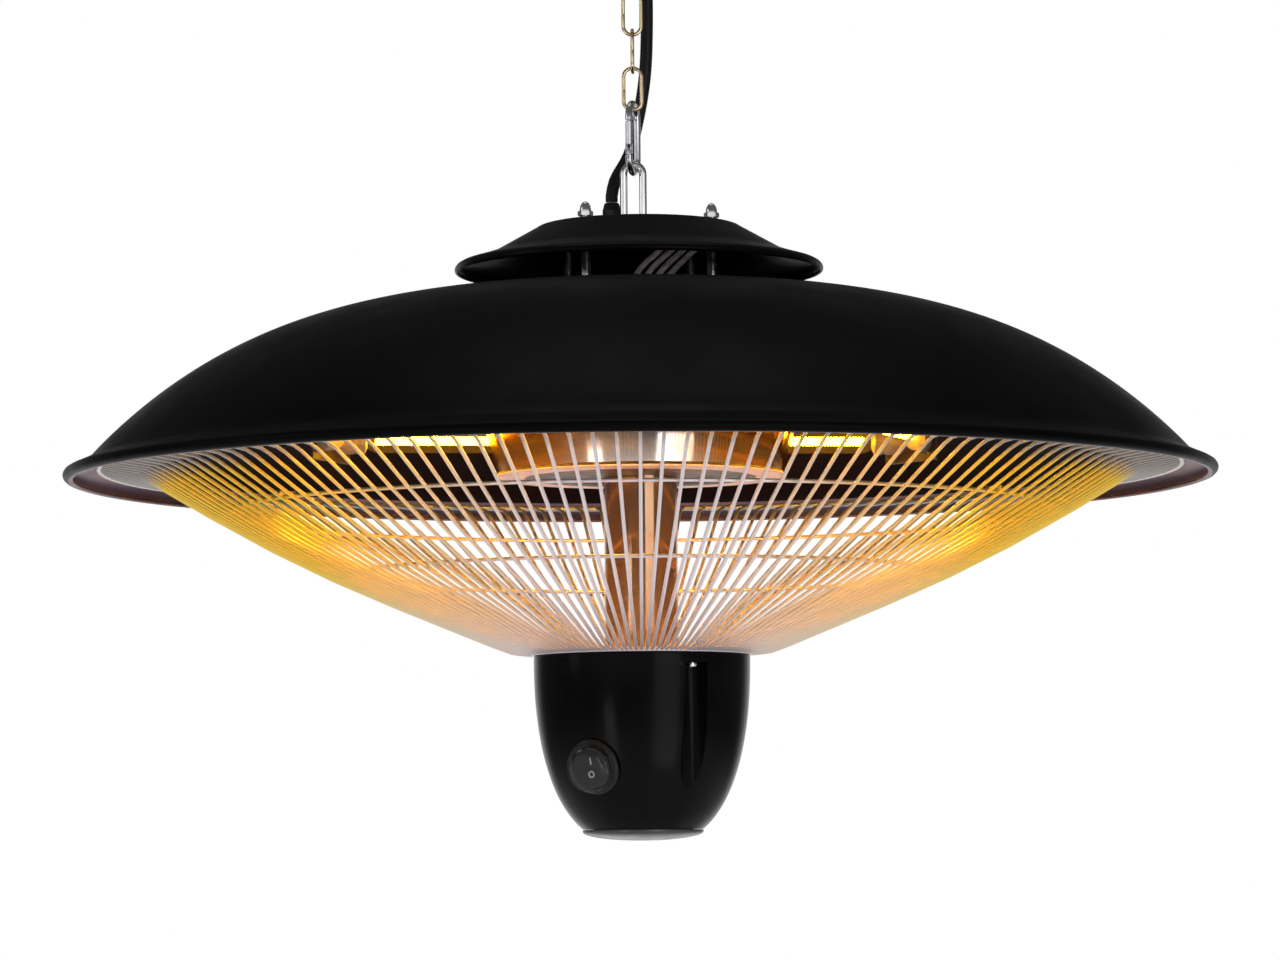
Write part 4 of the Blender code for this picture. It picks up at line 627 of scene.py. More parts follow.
def ceiling():
    outline = [(0, 0), (31.2, 0), (32, -0.8), (32, -3.6), (30.6, -5), (0, -5)]
    plate = lathed("ceiling_rose", rounded(in_mm(outline), 0.5 * MM), 96, STEEL, "zinc_steel",
                   "ceiling_plate", "ceiling")
    screw_hole, screw_place, socket = 2.5 * MM, 22 * MM, 2.8 * MM
    for side in (-1, 1):
        bore(plate, screw_hole, -8 * MM, 3 * MM, 32, moved(side * screw_place, 0))
    bore(plate, socket, -8 * MM, -2 * MM, 32)
    plate.data.set_sharp_from_angle(angle=math.radians(40))

    bowl = 9 * MM
    middle = DATUM + HOOK_BAR + bowl
    neck = middle + 2.6 * bowl
    root = -2.3 * MM
    bm = bmesh.new()
    rod = Rod(bm, HOOK_WIRE, 24, (0, 0, root), (0, 0, -1))
    rod.rise(neck - root)
    first = math.radians(35)
    start = Vector((0, bowl * math.cos(first), middle + bowl * math.sin(first)))
    tangent = Vector((0, math.sin(first), -math.cos(first)))
    top = Vector((0, 0, neck))
    a, b = top + Vector((0, 0, -0.9 * bowl)), start - tangent * 0.8 * bowl
    spine = []
    parts = 12
    for k in range(1, parts + 1):
        t = k / parts
        u = 1 - t
        spine.append(top * u ** 3 + a * 3 * t * u ** 2 + b * 3 * t * t * u + start * t ** 3)
    last = top
    ahead = Vector((0, 0, -1))
    for point, after in zip(spine, spine[1:] + [spine[-1] + tangent]):
        way = (after - last).normalized()
        rod.straight(point - last).lean(point, ahead, way)
        ahead = way
        last = point
    rod.bend((0, 0, middle), (1, 0, 0), math.radians(-250), 40).end()
    settle("open_hook", bm, ZINC, "zinc_steel", "ceiling_hook", "ceiling")


LEAD = 3.25 * MM
LEAD_ROUTE = [
    (-11.4, 10.0, 327.9), (-11.2, 10.1, 332.5), (-10.2, 10.5, 337.5), (-8.3, 11.2, 342), (-5.7, 12.3, 346.5),
    (-2.9, 13.3, 351.5), (-0.9, 14.0, 357), (0.7, 14.2, 363.5), (2.2, 14.0, 370), (4.1, 13.2, 379),
    (5.9, 12.0, 390), (7.0, 10.7, 401), (7.6, 9.2, 415), (7.8, 7.8, 430), (7.7, 6.8, 445), (8.3, 5.9, 461),
    (9.4, 5.5, 474), (9.9, 5.4, 480),
]
COIL_TURNS, COIL_PITCH, COIL_OUTER, COIL_HEIGHT, COIL_Y = 6.5, 7.2 * MM, 50.9 * MM, 492 * MM, 5.4 * MM
TAIL_TURN, TAIL_ASIDE = 0.24, 9.6 * MM      # the coil's last part of a turn steps aside to the plug
PLUG_RUN = 7 * MM
PLUG_RADIUS, PLUG_DEPTH, PLUG_BACK = 19 * MM, 12 * MM, 6.2 * MM
PIN_ASIDE = 9.5 * MM
COLLAR = 8 * MM


def eased(share):
    share = min(1.0, max(0.0, share))
    return share * share * (3 - 2 * share)


def lead():
    """The whole mains lead on one line: out of the gland, up the chain, its coil, and down to the plug."""
    route = [CHAIN @ (Vector(p) * MM) for p in LEAD_ROUTE]
    up = Vector((0, 0, LEAD))
    climb = [route[0]] + smooth_route([route[0] + up] + route[1:-1] + [route[-1] - up], 4 * MM)
    centre = route[-1].x + COIL_OUTER
    start = route[-1] + Vector((0, 0, GAP))
    turn_points = 48
    middle = COIL_TURNS / 2
    spiral = []
    for i in range(round(COIL_TURNS * turn_points) + 1):
        t = i / turn_points
        radius = COIL_OUTER - COIL_PITCH * (middle - abs(t - middle))
        y = COIL_Y + COIL_PITCH * eased(t - middle + 0.5)
        y += TAIL_ASIDE * eased((t - COIL_TURNS + TAIL_TURN) / TAIL_TURN)
        a = math.pi - math.tau * t
        spiral.append(Vector((centre + radius * math.cos(a), y, DATUM + COIL_HEIGHT + radius * math.sin(a))))
    end = spiral[-1] - Vector((0, 0, PLUG_RUN))
    points = climb + [start.lerp(spiral[0], 0.4), start.lerp(spiral[0], 0.8)] + spiral
    points += [spiral[-1].lerp(end, 0.5), end]
    curve = tube_curve("supply_lead", points, LEAD, RUBBER)
    skin = applied(curve)
    bpy.data.objects.remove(curve)
    skin.shade_smooth()
    piece = placed("supply_lead", skin)
    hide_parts("mains_lead", "lead_coil")
    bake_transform(piece)
    plug = plug_piece(end)
    pins = plug_pins(end)

    link = [(0, -LINK_BEND, WIRE_LINK), (0, LINK_BEND, WIRE_LINK)]
    low_tie = FIRST_LINK + 3 * PITCH
    beside = min(climb, key=lambda p: abs(p.z - DATUM - low_tie))
    tie("lead_strap", low_tie, link + [(beside.x, beside.y, LEAD)], "lead_tie")
    outer, near, far = [centre - COIL_OUTER + COIL_PITCH * turns for turns in (0, 0.5, middle)]
    behind = COIL_Y + COIL_PITCH
    bundle = [(outer, COIL_Y), (near, behind), (far, COIL_Y), (far, behind)]
    tie("coil_strap", LAST_LINK - PITCH, link + [(x, y, LEAD) for x, y in bundle], "coil_tie")


def tie(name, height, circles, cad_node):
    """A strap pulled round some round things."""
    thick, width = 0.8 * MM, 3.4 * MM
    bm = bmesh.new()
    ring = []
    steps = 72
    for i in range(steps):
        a = math.tau * i / steps
        x, y, r = max(circles, key=lambda c: c[0] * math.cos(a) + c[1] * math.sin(a) + c[2])
        grow = r + GAP + 0.15 * MM
        ring.append((x + grow * math.cos(a), y + grow * math.sin(a), 0))
    edges = row(bm, ring, closed=True)[1]
    grown = verts_in(bmesh.ops.extrude_edge_only(bm, edges=edges)["geom"])
    bmesh.ops.translate(bm, vec=(0, 0, width), verts=grown)
    bmesh.ops.translate(bm, vec=(0, 0, -width / 2), verts=bm.verts)
    piece = settle(name, bm, PLASTIC, "black_plastic", cad_node, "chain", CHAIN @ moved(0, 0, height))
    wall = piece.modifiers.new("wall", "SOLIDIFY")
    wall.thickness = thick
    wall.offset = 1


def plug_middle(end):
    return end.z - GAP - COLLAR - 0.9 * PLUG_RADIUS


def plug_piece(end):
    r, h = PLUG_RADIUS, PLUG_DEPTH
    place = moved(end.x, end.y + PLUG_BACK, plug_middle(end)) @ BACKWARDS
    bm = bmesh.new()
    outline = [(0, -h), (0.72 * r, -h), (0.80 * r, -0.93 * h), (0.97 * r, -0.80 * h), (r, -0.6 * h),
               (r, 0.55 * h), (0.96 * r, 0.6 * h), (0.96 * r, 0.68 * h), (r, 0.74 * h), (r, 0.86 * h),
               (0.95 * r, h), (0, h)]
    lathe(bm, rounded(outline, 0.8 * MM), 72, place=place)
    for side in (-1, 1):
        for k in range(4):
            rib = place @ turned(math.radians(12 * (k - 1.5)))
            brick(bm, (0.5 * MM, 1.2 * MM, 9 * MM), (side * (r - 0.35 * MM), 0, 0), 0.2 * MM, rib)
    top = end.z - GAP
    low = top - COLLAR - 5.5 * MM
    collar = [(0, low), (5.5 * MM, low)]
    for k in range(5):
        z = top - COLLAR + 1.6 * MM * k
        wide = (5.5 - 0.26 * k) * MM
        narrow = wide - 0.5 * MM
        collar += [(wide, z), (wide, z + 0.9 * MM), (narrow, z + 1.0 * MM), (narrow, z + 1.5 * MM)]
    collar += [(4.2 * MM, top), (0, top)]
    lathe(bm, collar, 40, place=moved(end.x, end.y))
    return settle("mains_plug", bm, RUBBER, "black_rubber", "plug_body", "chain")


def plug_pins(end):
    outline = rounded(in_mm([(0, 0), (2.4, 0), (2.4, 17.6), (2.0, 18.6), (1.2, 19), (0, 19)]), 0.4 * MM)
    foot = end.y + PLUG_BACK + PLUG_DEPTH + GAP
    made = []
    for side, word in ((-1, "left"), (1, "right")):
        place = moved(end.x + side * PIN_ASIDE, foot, plug_middle(end)) @ BACKWARDS
        made.append(lathed(f"contact_pin_{word}", outline, 28, NICKEL, "nickel_pin", f"plug_pin_{word}",
                           "chain", place))
    return made


# Cap and its fittings
CAP_TOP = 314 * MM
CAP_OUTLINE = [
    (0, 314.0), (30, 313.95), (44, 313.85), (50.6, 313.6), (52.7, 313.0), (54.2, 312.0), (76.2, 299.55),
    (77.4, 299.0), (85.7, 296.3), (90.7, 294.85), (93.0, 294.25), (94.8, 293.3), (95.9, 292.0),
    (96.2, 290.8), (95.8, 289.6), (94.8, 289.2),
]
POSTS = [at_turn(46.5 * MM, math.radians(-36 + 90 * k)) for k in range(4)]
POST_OUTLINE = [(0, 318), (2.0, 318), (2.0, 312.7), (2.5, 312.5), (2.5, 279.0), (2.0, 278.8), (2.0, 271.5),
                (0, 271.5)]
NUT_WIDE = 7 * MM


def hex_nut(name, low, high, across, place, finish, slot, cad_node, extra=None):
    """A hexagon nut: a prism whose corners are turned back to a circle at its rims."""
    radius = across / math.sqrt(3)
    bm = bmesh.new()
    drum(bm, radius, low, high, 6, turn=math.pi / 6)
    nut = settle(name, bm, finish, slot, cad_node)
    rim, wide = 0.485 * across, radius + 0.1 * MM
    drop = 0.55 * (radius - rim) + 0.06 * MM
    outline = [(0, low), (rim, low), (wide, low + drop), (wide, high - drop), (rim, high), (0, high)]
    carve_lathed(nut, outline, 48, "INTERSECT")
    if extra:
        extra(nut)
    nut.data.transform(place)
    smooth(nut.data, 28)


def bow():
    bend, wire = 5 * MM, 2 * MM
    low, top, thread = 304 * MM, 341.1 * MM, 17 * MM
    shank = top - low - thread
    bm = bmesh.new()
    rod = Rod(bm, wire, 24, (bend, 0, low), (0, 0, 1))
    rod.rise(thread).rise(shank)
    rod.bend((0, 0, top), (0, -1, 0), math.pi, 24)
    rod.rise(-shank).rise(-thread).end()
    settle("bow", bm, CHROME, "chrome", "hanging_bow", place=CHAIN)
    rows = (("bow_nut_", "bow_nut_", CAP_TOP + GAP), ("under_nut_", "bow_lock_nut_", CAP_TOP - 4.7 * MM))
    for side, word in ((-1, "left"), (1, "right")):
        for name, cad_node, base in rows:
            hex_nut(name + word, base, base + 3.4 * MM, NUT_WIDE, CHAIN @ moved(side * bend, 0), CHROME,
                    "chrome", cad_node + word)


def cap():
    lathed("vent_cap", rounded(in_mm(CAP_OUTLINE), 0.6 * MM, 2), 160, CAP_PAINT, "black_paint",
           "top_cap", place=HEATER, wall=1.0 * MM, bend=60)
    base = CAP_TOP + GAP + 2.6 * MM
    wide, tall = 3.05 * MM, 5.0 * MM
    angles = [math.pi / 2 * k / 12 for k in range(1, 12)]
    crown = [(0, base - 1.2 * MM), (2.6 * MM, base - 1.2 * MM), (wide, base)]
    crown += [(wide * math.cos(a), base + tall * math.sin(a)) for a in angles] + [(0, base + tall)]

    def domed(nut):
        carve_lathed(nut, crown, 40, "UNION")

    for number, at in enumerate(POSTS, 1):
        spot = HEATER @ moved(*at)
        lathed(f"post_{number}", in_mm(POST_OUTLINE), 24, NICKEL, "zinc_steel",
               f"cap_post_{number}", place=spot)
        hex_nut(f"domed_nut_{number}", CAP_TOP + GAP, base, NUT_WIDE, spot, CHROME, "chrome",
                f"cap_nut_{number}", extra=domed)


def gland():
    place = CHAIN @ moved(-11.4 * MM, 10 * MM)
    base = CAP_TOP + GAP
    outline = [(0, 3), (4.3, 3), (4.3, 4.2), (4.9, 4.8), (4.9, 9.2), (4.6, 10.0), (4.1, 12.2), (3.7, 12.9),
               (3.45, 13), (0, 13)]
    outline = [(radius, base + height) for radius, height in in_mm(outline)]

    def body(nut):
        carve_lathed(nut, rounded(outline, 0.3 * MM, 2), 48, "UNION")
        grooves = 14
        for k in range(grooves):
            bore(nut, 0.42 * MM, base + 5.2 * MM, base + 9.0 * MM, 8,
                 turned(math.tau * k / grooves) @ moved(5.05 * MM, 0))
        bore(nut, 4 * MM, 307 * MM, base + 1 * MM, 32, operation="UNION")

    hex_nut("clamp_gland", base, base + 3.8 * MM, 9.7 * MM, place, PLASTIC, "black_plastic", "cable_gland",
            extra=body)


BLOCK_X, BLOCK_PITCH, BLOCK_LOW, BLOCK_HIGH = 21 * MM, 6 * MM, 303.7 * MM, 312.7 * MM


def terminal():
    bm = bmesh.new()
    brick(bm, (26 * MM, 14 * MM, 5.2 * MM), (BLOCK_X, 0, BLOCK_LOW + 2.6 * MM), 0.5 * MM)
    for k in range(4):
        x = BLOCK_X + (k - 1.5) * BLOCK_PITCH
        brick(bm, (5.0 * MM, 11 * MM, 4.6 * MM), (x, 0, BLOCK_HIGH - 2.4 * MM), 0.7 * MM)
        for side in (-1, 1):
            drum(bm, 1.7 * MM, BLOCK_HIGH - 2.2 * MM, BLOCK_HIGH - 0.05 * MM, 20,
                 moved(x, side * 3 * MM), 0.2 * MM)
    settle("connector_strip", bm, NYLON, "white_nylon", "terminal_block", place=HEATER)


POD_TALL = 89.4 * MM


def pod_radius(height):
    depth = (POD_TALL - height) / (98.4 * MM)
    return 56.13 * MM * (1 - depth ** 2.283) ** (1 / 2.775)


SWITCH_TURN, SWITCH_HEIGHT = math.radians(-30), 31.6 * MM


def switch_seat():
    """The switch's place on the pod, with Z straight out of it."""
    step = 1 * MM
    slope = (pod_radius(SWITCH_HEIGHT + step) - pod_radius(SWITCH_HEIGHT - step)) / (2 * step)
    out = Vector((math.sin(SWITCH_TURN), -math.cos(SWITCH_TURN), -slope)).normalized()
    level = Vector((math.cos(SWITCH_TURN), math.sin(SWITCH_TURN), 0))
    at = at_turn(pod_radius(SWITCH_HEIGHT), SWITCH_TURN, SWITCH_HEIGHT)
    return moved(*at) @ Matrix((level, out.cross(level), out)).transposed().to_4x4()


def inner_leads():
    low = BLOCK_LOW - GAP
    seat = switch_seat()
    mouth = 274.0 * MM
    tabs, below_tabs = -16.6 * MM, -23.6 * MM
    square = 7 * MM / math.sqrt(2)
    for number in range(4):
        offset = (number - 1.5) * BLOCK_PITCH
        aside = -square if number < 2 else square
        back = square if number % 2 else -square
        goal = seat @ Vector((aside, -back, tabs))
        ahead = seat @ Vector((aside, -back, below_tabs))
        pod_top = Vector((aside, back, POD_TALL))
        route = [(BLOCK_X + offset, 0, low - 1.5 * MM), (8.5 * MM + offset, 0, 290 * MM),
                 (0.6 * offset, back * 0.5, mouth), (aside, back, mouth - 19 * MM), pod_top,
                 (pod_top + ahead) / 2, ahead]
        points = [Vector((BLOCK_X + offset, 0, low))] + smooth_route(route, 5 * MM) + [goal]
        piece = tube_curve(f"sleeved_lead_{number + 1}", [HEATER @ p for p in points], 1.5 * MM, SLEEVE, 3)
        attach(piece, "heater")
        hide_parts(f"inner_lead_{number + 1}")


# Shade, reflector and lamps
SHADE_RADIUS = 285.2 * MM   # where the bowl turns into the flange
FLANGE_TOP = 190.6 * MM
SHADE_RIM = [(286.6, 190.0), (290.0, 188.4), (294.0, 186.7), (296.2, 185.8), (297.5, 185.0), (298.2, 183.9),
             (298.4, 182.8), (298.0, 181.5), (297.0, 180.5), (295.4, 179.95), (293.9, 179.9), (293.0, 180.6)]


def dome_height(radius):
    reach = max(0.0, 1 - (radius / SHADE_RADIUS) ** 3.359)
    return 190.8 * MM + 88.0 * MM * reach ** (1 / 1.0238)


def shade():
    vent = 38 * MM
    outline = [(vent - 0.6 * MM, dome_height(vent) - 0.4 * MM)]
    rings = 44
    for i in range(rings + 1):
        share = 0.034 + 0.966 * i / rings
        radius = SHADE_RADIUS * share ** (1 / 1.68)
        outline.append((radius, dome_height(radius)))
    bm = bmesh.new()
    lathe(bm, outline + in_mm(SHADE_RIM), 192)
    curl_top, curl_radius = 181 * MM, 295.3 * MM
    # below the flange top the rim's outside stays black and its underside takes the painted reflection; the
    # foot of the curl's inside takes it on both sides
    for face in bm.faces:
        middle = face.calc_center_median()
        if middle.z < curl_top and middle.xy.length < curl_radius:
            face.material_index = 3
        elif middle.z < FLANGE_TOP:
            face.material_index = 2
    settle("shade", bm, [PAINT, INSIDE, PAINT, UNDERSIDE_SHEEN, UNDERSIDE_SHEEN], "black_paint", "dome", place=HEATER,
           wall=1.0 * MM, bend=70)


def top_of(cad_node):
    """The height of a CAD node's top on the heater."""
    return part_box(cad_node)[1][2] - DATUM


def support_and_tube():
    hole, wide, thick = 16 * MM, 60 * MM, 2 * MM
    top = top_of("support_plate")
    outline = [(hole, top - thick), (wide, top - thick), (wide, top), (hole, top)]
    lathed("ring_plate", outline, 72, STEEL, "zinc_steel", "support_plate", place=HEATER, closed=True)
    inner, outer = 17.8 * MM, 19 * MM
    low, high = 87.0 * MM, top_of("central_tube")
    outline = [(inner, low), (outer - 0.1 * MM, low), (outer, low + 0.3 * MM), (outer, high), (inner, high)]
    lathed("polished_column", outline, 96, TUBE, "polished_aluminium", "central_tube", place=HEATER,
           closed=True)


def reflector():
    floor_radius, low, lip_top, curl_top = 60.0, 182.0, 183.1, 184.9
    outline = [(19.4, low), (floor_radius, low), (70.5, low), (73.6, low), (74.6, 182.35),
               (75.0, lip_top), (74.6, 183.8), (74.0, 184.4), (99.2, top_of("reflector") / MM)]
    bm = bmesh.new()
    lathe(bm, rounded(in_mm(outline), 0.5 * MM, 3), 144)
    for face in bm.faces:
        middle = face.calc_center_median() / MM
        if middle.z < low + 0.1 and middle.xy.length < floor_radius or lip_top < middle.z < curl_top:
            face.material_index = 2
        elif middle.z < lip_top + 0.1:
            face.material_index = 4
    settle("bucket_reflector", bm, [MIRROR, MIRROR, BLUED, BLUED, LIP, MIRROR], "polished_aluminium",
           "reflector", place=HEATER, wall=0.7 * MM, bend=60)


LAMP_TURN, LAMP_HEIGHT, LAMP_INRADIUS = math.radians(186), 209 * MM, 100 * MM
LAMP_TUBE = [(0, -139), (2.2, -139), (3.6, -136.5), (5.4, -133), (5.5, -130), (5.5, 130), (5.4, 133),
             (3.6, 136.5), (2.2, 139), (0, 139)]
LAMP_END = [(0, 137), (3.0, 137), (6.1, 138.2), (6.4, 139.5), (6.4, 142), (5.9, 142.6), (5.9, 144.2),
            (6.4, 144.8), (6.4, 153.5), (5.8, 155), (0, 155)]


def lamps():
    for number in range(1, 4):
        turn = LAMP_TURN + math.tau * (number - 1) / 3
        place = HEATER @ moved(*at_turn(LAMP_INRADIUS, turn, LAMP_HEIGHT))
        place = place @ turned(turn) @ SIDEWAYS
        bm = bmesh.new()
        lathe(bm, rounded(in_mm(LAMP_TUBE), 0.8 * MM, 2), 28)
        for flip in (math.pi, 0):
            inside = set(lathe(bm, in_mm(LAMP_END), 36, place=turned(flip, "X")))
            for face in bm.faces:
                if all(v in inside for v in face.verts):
                    face.material_index = 1
        settle(f"quartz_lamp_{number}", bm, [QUARTZ, CERAMIC], "gold_quartz",
               f"heating_lamp_{number}", place=place)
        filament(number, place)
    for number in range(1, 4):
        bracket(number)


def filament(number, place):
    """A lamp's wound core, a little above the middle of its tube."""
    turns, pitch, rise = 156, 1.7 * MM, 1.0 * MM
    foot, crest = 1.9 * MM, 2.4 * MM
    half = turns * pitch / 2
    wound = [(0, -half)]
    for k in range(turns):
        at = (k - turns / 2) * pitch
        wound += [(foot, at), (crest, at + 0.35 * pitch), (crest, at + 0.65 * pitch)]
    wound += [(foot, half), (0, half)]
    lathed(f"filament_{number}", wound, 12, FILAMENT, "gold_quartz", f"heating_lamp_{number}",
           place=place @ moved(-rise, 0))


def bracket(number):
    """A folded sheet at a corner of the lamps' triangle, with a hole for each of two lamps."""
    corner = LAMP_TURN + math.tau * (number - 0.5) / 3
    lean = math.pi / 3
    along = 151 * MM
    reach = LAMP_INRADIUS * math.cos(lean) + along * math.sin(lean)
    aside = LAMP_INRADIUS * math.sin(lean) - along * math.cos(lean)
    sheet, half, foot = 1.5 * MM, 21.5 * MM, 10 * MM
    low, head = 198 * MM, top_of(f"lamp_bracket_{number}")
    drop = foot * 0.46
    outline = [(reach, low), (reach + sheet, low), (reach + sheet, head - 2 * sheet),
               (reach + foot, head - drop - 1.4 * sheet), (reach + foot, head - drop), (reach, head)]
    bm = bmesh.new()
    face = bm.faces.new([bm.verts.new((x, -half, z)) for x, z in outline])
    grown = bmesh.ops.extrude_face_region(bm, geom=[face])["geom"]
    bmesh.ops.translate(bm, vec=(0, 2 * half, 0), verts=verts_in(grown))
    bmesh.ops.transform(bm, matrix=turned(corner - math.pi / 2), verts=bm.verts)
    piece = settle(f"folded_bracket_{number}", bm, BLUED, "zinc_steel", f"lamp_bracket_{number}")
    for side in (-1, 1):
        place = at_turn(reach, corner, LAMP_HEIGHT)
        place += side * aside * Vector((math.cos(corner), math.sin(corner), 0))
        turn = corner - math.pi / 2 - side * (math.pi / 2 - lean)
        bore(piece, 6.8 * MM, -18 * MM, 18 * MM, 40, moved(*place) @ turned(turn) @ SIDEWAYS)
    edges = piece.modifiers.new("eased_edges", "BEVEL")
    edges.width = 0.3 * MM
    edges.segments = 2
    piece.data.transform(HEATER)


# Grille
WIRES = 144
WIRE_LINE = [(56.8, 90.8), (68.0, 91.9), (77.0, 95.2), (127.0, 115.8), (160.0, 130.2), (192.0, 146.0),
             (225.0, 164.3), (253.0, 180.9), (259.0, 183.5), (280, 186.6)]
HUB_OUTLINE = [(19.3, 89.7), (57.0, 89.7), (57.5, 90.2), (57.5, 91.3), (56.9, 91.9), (19.3, 91.9)]
OUTER_RING = 280 * MM, 186.6 * MM


def grille():
    bm = bmesh.new()
    at = [Vector((radius, 0, height)) for radius, height in in_mm(WIRE_LINE)]
    rod = Rod(bm, 1.0 * MM, 6, at[0], at[1] - at[0], cap=False)
    ahead = (at[1] - at[0]).normalized()
    for before, point, after in zip(at, at[1:], at[2:]):
        way = ((point - before).normalized() + (after - point).normalized()).normalized()
        rod.straight(point - before).lean(point, ahead, way)
        ahead = way
    rod.straight(at[-1] - at[-2])
    bmesh.ops.transform(bm, matrix=turned(-math.pi / 2), verts=bm.verts)
    bmesh.ops.spin(bm, geom=bm.verts[:] + bm.edges[:] + bm.faces[:], cent=(0, 0, 0), axis=(0, 0, 1),
                   dvec=(0, 0, 0), angle=math.tau * (WIRES - 1) / WIRES, steps=WIRES - 1, use_duplicate=True)
    lathe(bm, in_mm(HUB_OUTLINE), 144, closed=True)
    radius, height = OUTER_RING
    lathe(bm, wire_section(radius, height, 1.5 * MM, 12), 192, closed=True)
    head = top_of("grille")
    tab = 12 * MM, 1.3 * MM, head - height
    for k in range(4):
        brick(bm, tab, (0, -radius, (head + height) / 2), 0.3 * MM, turned(math.radians(45 + 90 * k)))
    settle("wire_bowl", bm, WIRE, "chrome", "grille", place=HEATER)
    for cad_node in ("grille_inner_ring", "grille_middle_ring"):
        low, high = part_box(cad_node)
        thick = 1.0 * MM
        radius = (high[0] - low[0]) / 2 - 0.95 * thick
        section = wire_section(radius, (high[2] + low[2]) / 2, thick, 10)
        lathed(cad_node.replace("grille", "hoop"), section, 160, WIRE, "chrome", cad_node,
               place=moved(ASIDE, 0), closed=True)


# Pod and switch
WELLS = [math.radians(30), math.radians(210)]
WELL_CIRCLE, WELL_RADIUS, WELL_TOP = 52.5 * MM, 7 * MM, 84 * MM
POD_WALL, POD_STEP = 2.5 * MM, 5 * MM
BEZEL_RECESS, BEZEL_HOLE = 14.8 * MM, 13.1 * MM


def pod():
    heights = [POD_TALL * i / 40 for i in range(40)]
    edge = pod_radius(POD_TALL)
    outer = [(0, 0)] + [(pod_radius(h), h) for h in heights]
    outer += [(outer[-1][0], POD_TALL - 0.5 * MM), (edge - 0.5 * MM, POD_TALL), (0, POD_TALL)]
    piece = lathed("pod", outer, 128, POD, "black_plastic", "pod_shell", bend=35)
    heights = [POD_WALL + 84.4 * MM * i / 16 for i in range(17)]
    inner = [(0, POD_WALL)] + [(pod_radius(h) - POD_WALL, h) for h in heights]
    inner += [(inner[-1][0], POD_TALL + 3 * MM), (0, POD_TALL + 3 * MM)]
    carve_lathed(piece, inner, 96, "DIFFERENCE")
    jackets = bmesh.new()
    for turn in WELLS:
        drum(jackets, WELL_RADIUS + 2.2 * MM, 0.5 * MM, POD_TALL - 0.5 * MM, 48,
             moved(*at_turn(WELL_CIRCLE, turn)))
    bmesh.ops.recalc_face_normals(jackets, faces=jackets.faces)
    wells = placed("wells", mesh_from("wells", jackets))
    carve_lathed(wells, outer, 128, "INTERSECT")
    fill = bmesh.new()
    fill.from_mesh(wells.data)
    bpy.data.objects.remove(wells)
    carve(piece, fill, "UNION")
    for turn in WELLS:
        bore(piece, WELL_RADIUS, -3 * MM, WELL_TOP, 64, moved(*at_turn(WELL_CIRCLE, turn)))
    bore(piece, pod_radius(0) - POD_STEP, -3 * MM, 6 * MM, 64)
    bore(piece, BEZEL_RECESS, -1 * MM, 8 * MM, 96, switch_seat())
    bore(piece, BEZEL_HOLE, -16 * MM, 3 * MM, 64, switch_seat())
    piece.data.transform(HEATER)
    smooth(piece.data, 35)
    pod_screws()

    r = pod_radius(0)
    angles = [math.pi / 2 * k / 14 for k in range(15)]
    outline = [(r * math.sin(a), -1.3 * MM - 4.6 * MM * math.cos(a)) for a in angles]
    step = r - POD_STEP - GAP
    outline += [(r, -0.5 * MM), (r - 0.3 * MM, -0.3 * MM), (step, -0.3 * MM), (step, 5 * MM), (0, 5 * MM)]
    lathed("end_cap", outline, 96, SMOKE, "smoked_plastic", "pod_end_cap", place=HEATER)


def pod_screws():
    head = 81.5
    outline = [(0, head), (2.0, head), (3.1, head + 0.5), (3.4, head + 1.1), (3.4, 83.7), (1.75, 83.7),
               (1.75, 91.4), (0, 91.4)]
    for number, turn in enumerate(WELLS, 1):
        screw = lathed(f"well_screw_{number}", in_mm(outline), 32, CHROME, "chrome",
                       f"pod_screw_{number}")
        for angle in (0, math.pi / 2):
            slot = bmesh.new()
            brick(slot, (3.6 * MM, 0.7 * MM, 2.4 * MM), (0, 0, head * MM), 0, turned(angle))
            carve(screw, slot)
        screw.data.transform(HEATER @ moved(*at_turn(WELL_CIRCLE - 2.1 * MM, turn)))


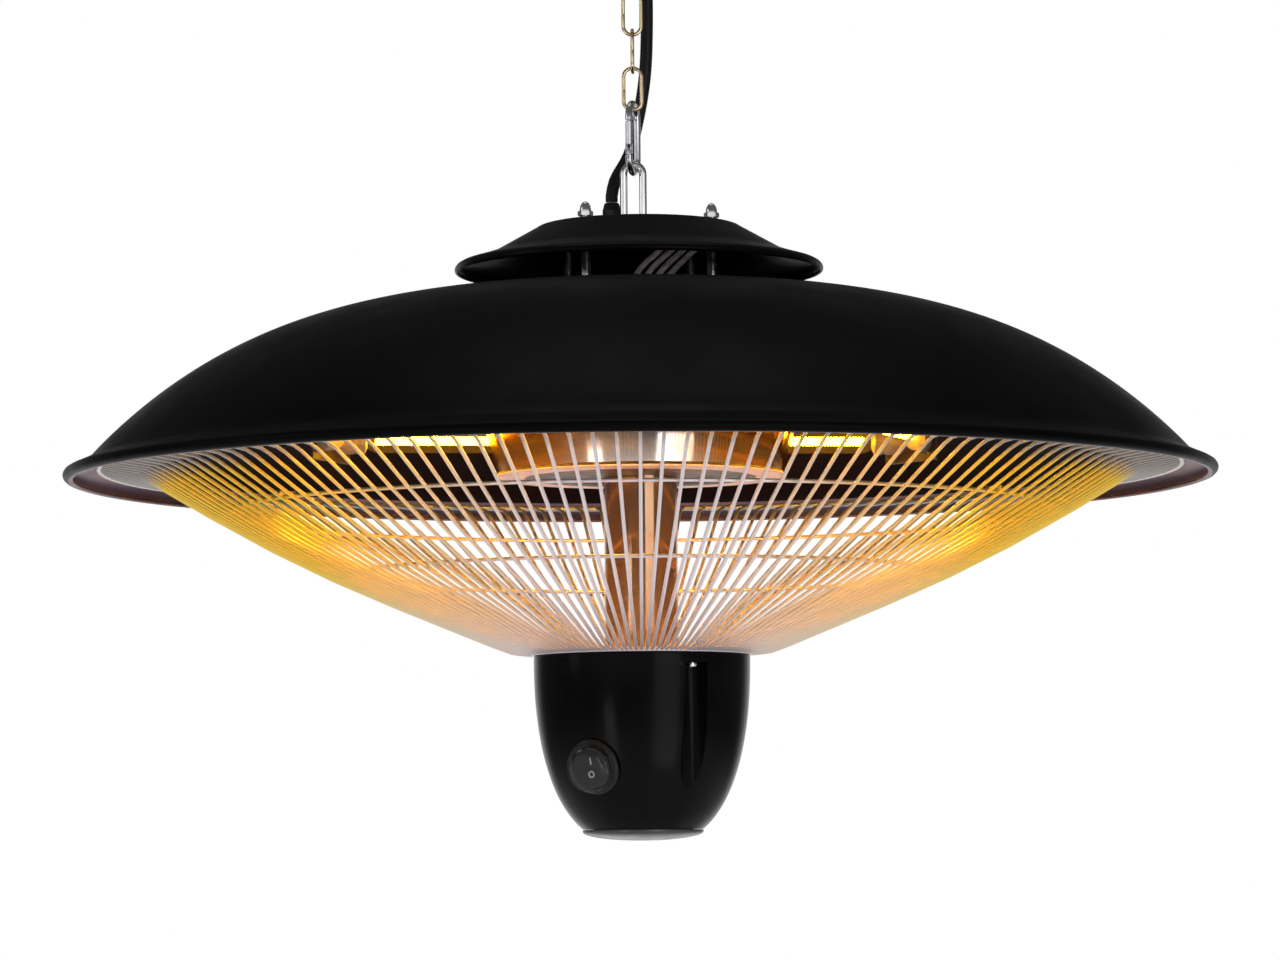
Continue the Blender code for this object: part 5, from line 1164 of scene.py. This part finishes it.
def switch():
    seat = HEATER @ switch_seat()
    outline = [(0, -16), (12.4, -16), (12.8, -15.6), (12.8, -0.7), (14.2, -0.7), (14.5, -0.3), (14.5, 0.7),
               (14.1, 1.3), (13.5, 1.7), (12.9, 1.8), (11.9, 1.8), (11.5, 1.4), (11.5, -14), (0, -14)]
    bm = bmesh.new()
    lathe(bm, in_mm(outline), 72)
    for angle in (0, 1.2):
        brick(bm, (0.8 * MM, 4.8 * MM, 0.1 * MM), (0, 0, -16.0 * MM), 0, turned(angle))
    settle("switch_bezel", bm, PLASTIC, "black_plastic", "switch_body", place=seat)
    rocker(seat)
    outline = [(12.6, 0), (12.6, 3.4), (12.3, 4.5), (11.5, 5.5), (10.2, 6.1), (8.6, 6.35), (0, 6.4)]
    lathed("clear_boot", [(r, h + 2.1 * MM) for r, h in in_mm(outline)], 72, CLEAR,
           "clear_silicone", "switch_boot", place=seat, wall=0.75 * MM, bend=70)


def rocker(seat):
    """The rocker, a disc whose two faces rise away from its middle, with its line and ring."""
    radius, half, slope = 10.5 * MM, 2.8 * MM, math.radians(7)
    bm = bmesh.new()
    bmesh.ops.create_circle(bm, cap_ends=True, segments=64, radius=radius)
    for y in (0.0, 0.6 * MM, -0.6 * MM):
        bmesh.ops.bisect_plane(bm, geom=bm.verts[:] + bm.edges[:] + bm.faces[:], plane_co=(0, y, 0),
                               plane_no=(0, 1, 0))
    bmesh.ops.translate(bm, vec=(0, 0, -half), verts=bm.verts)
    grown = bmesh.ops.extrude_face_region(bm, geom=bm.faces[:])["geom"]
    for vert in verts_in(grown):
        vert.co.z = half - math.tan(slope) * (radius - abs(vert.co.y))
    rims = [e for e in bm.edges if e.calc_face_angle(0) > 1.0]
    ease(bm, [e for e in rims if e.verts[0].co.z + e.verts[1].co.z > 0.4 * MM], 0.5 * MM, 3)
    body = set(bm.faces)
    mark = 3.4 * MM
    rise = half - math.tan(slope) * (radius - mark) + 0.10 * MM
    leans = [moved(0, side * mark, rise) @ turned(side * slope, "X") for side in (-1, 1)]
    ring = in_mm([(1.1, -0.25), (1.8, -0.25), (1.8, 0.25), (1.1, 0.25)])
    lathe(bm, ring, 40, closed=True, place=leans[0])
    brick(bm, (0.7 * MM, 3.6 * MM, 0.5 * MM), (0, 0, 0), 0.1 * MM, leans[1])
    for face in bm.faces:
        if face not in body:
            face.material_index = 1
    settle("rocker", bm, [PLASTIC, MARK], "black_plastic", "switch_rocker", "rocker",
           seat @ moved(0, 0, 1.2 * MM) @ turned(-slope, "X"), bend=30)


camera()
lead()
studio()
ceiling()
links()
snap_hook()
bow()
cap()
gland()
terminal()
inner_leads()
shade()
support_and_tube()
reflector()
lamps()
grille()
pod()
switch()

bpy.context.scene.view_settings.view_transform = "Standard"
bpy.context.view_layer.update()
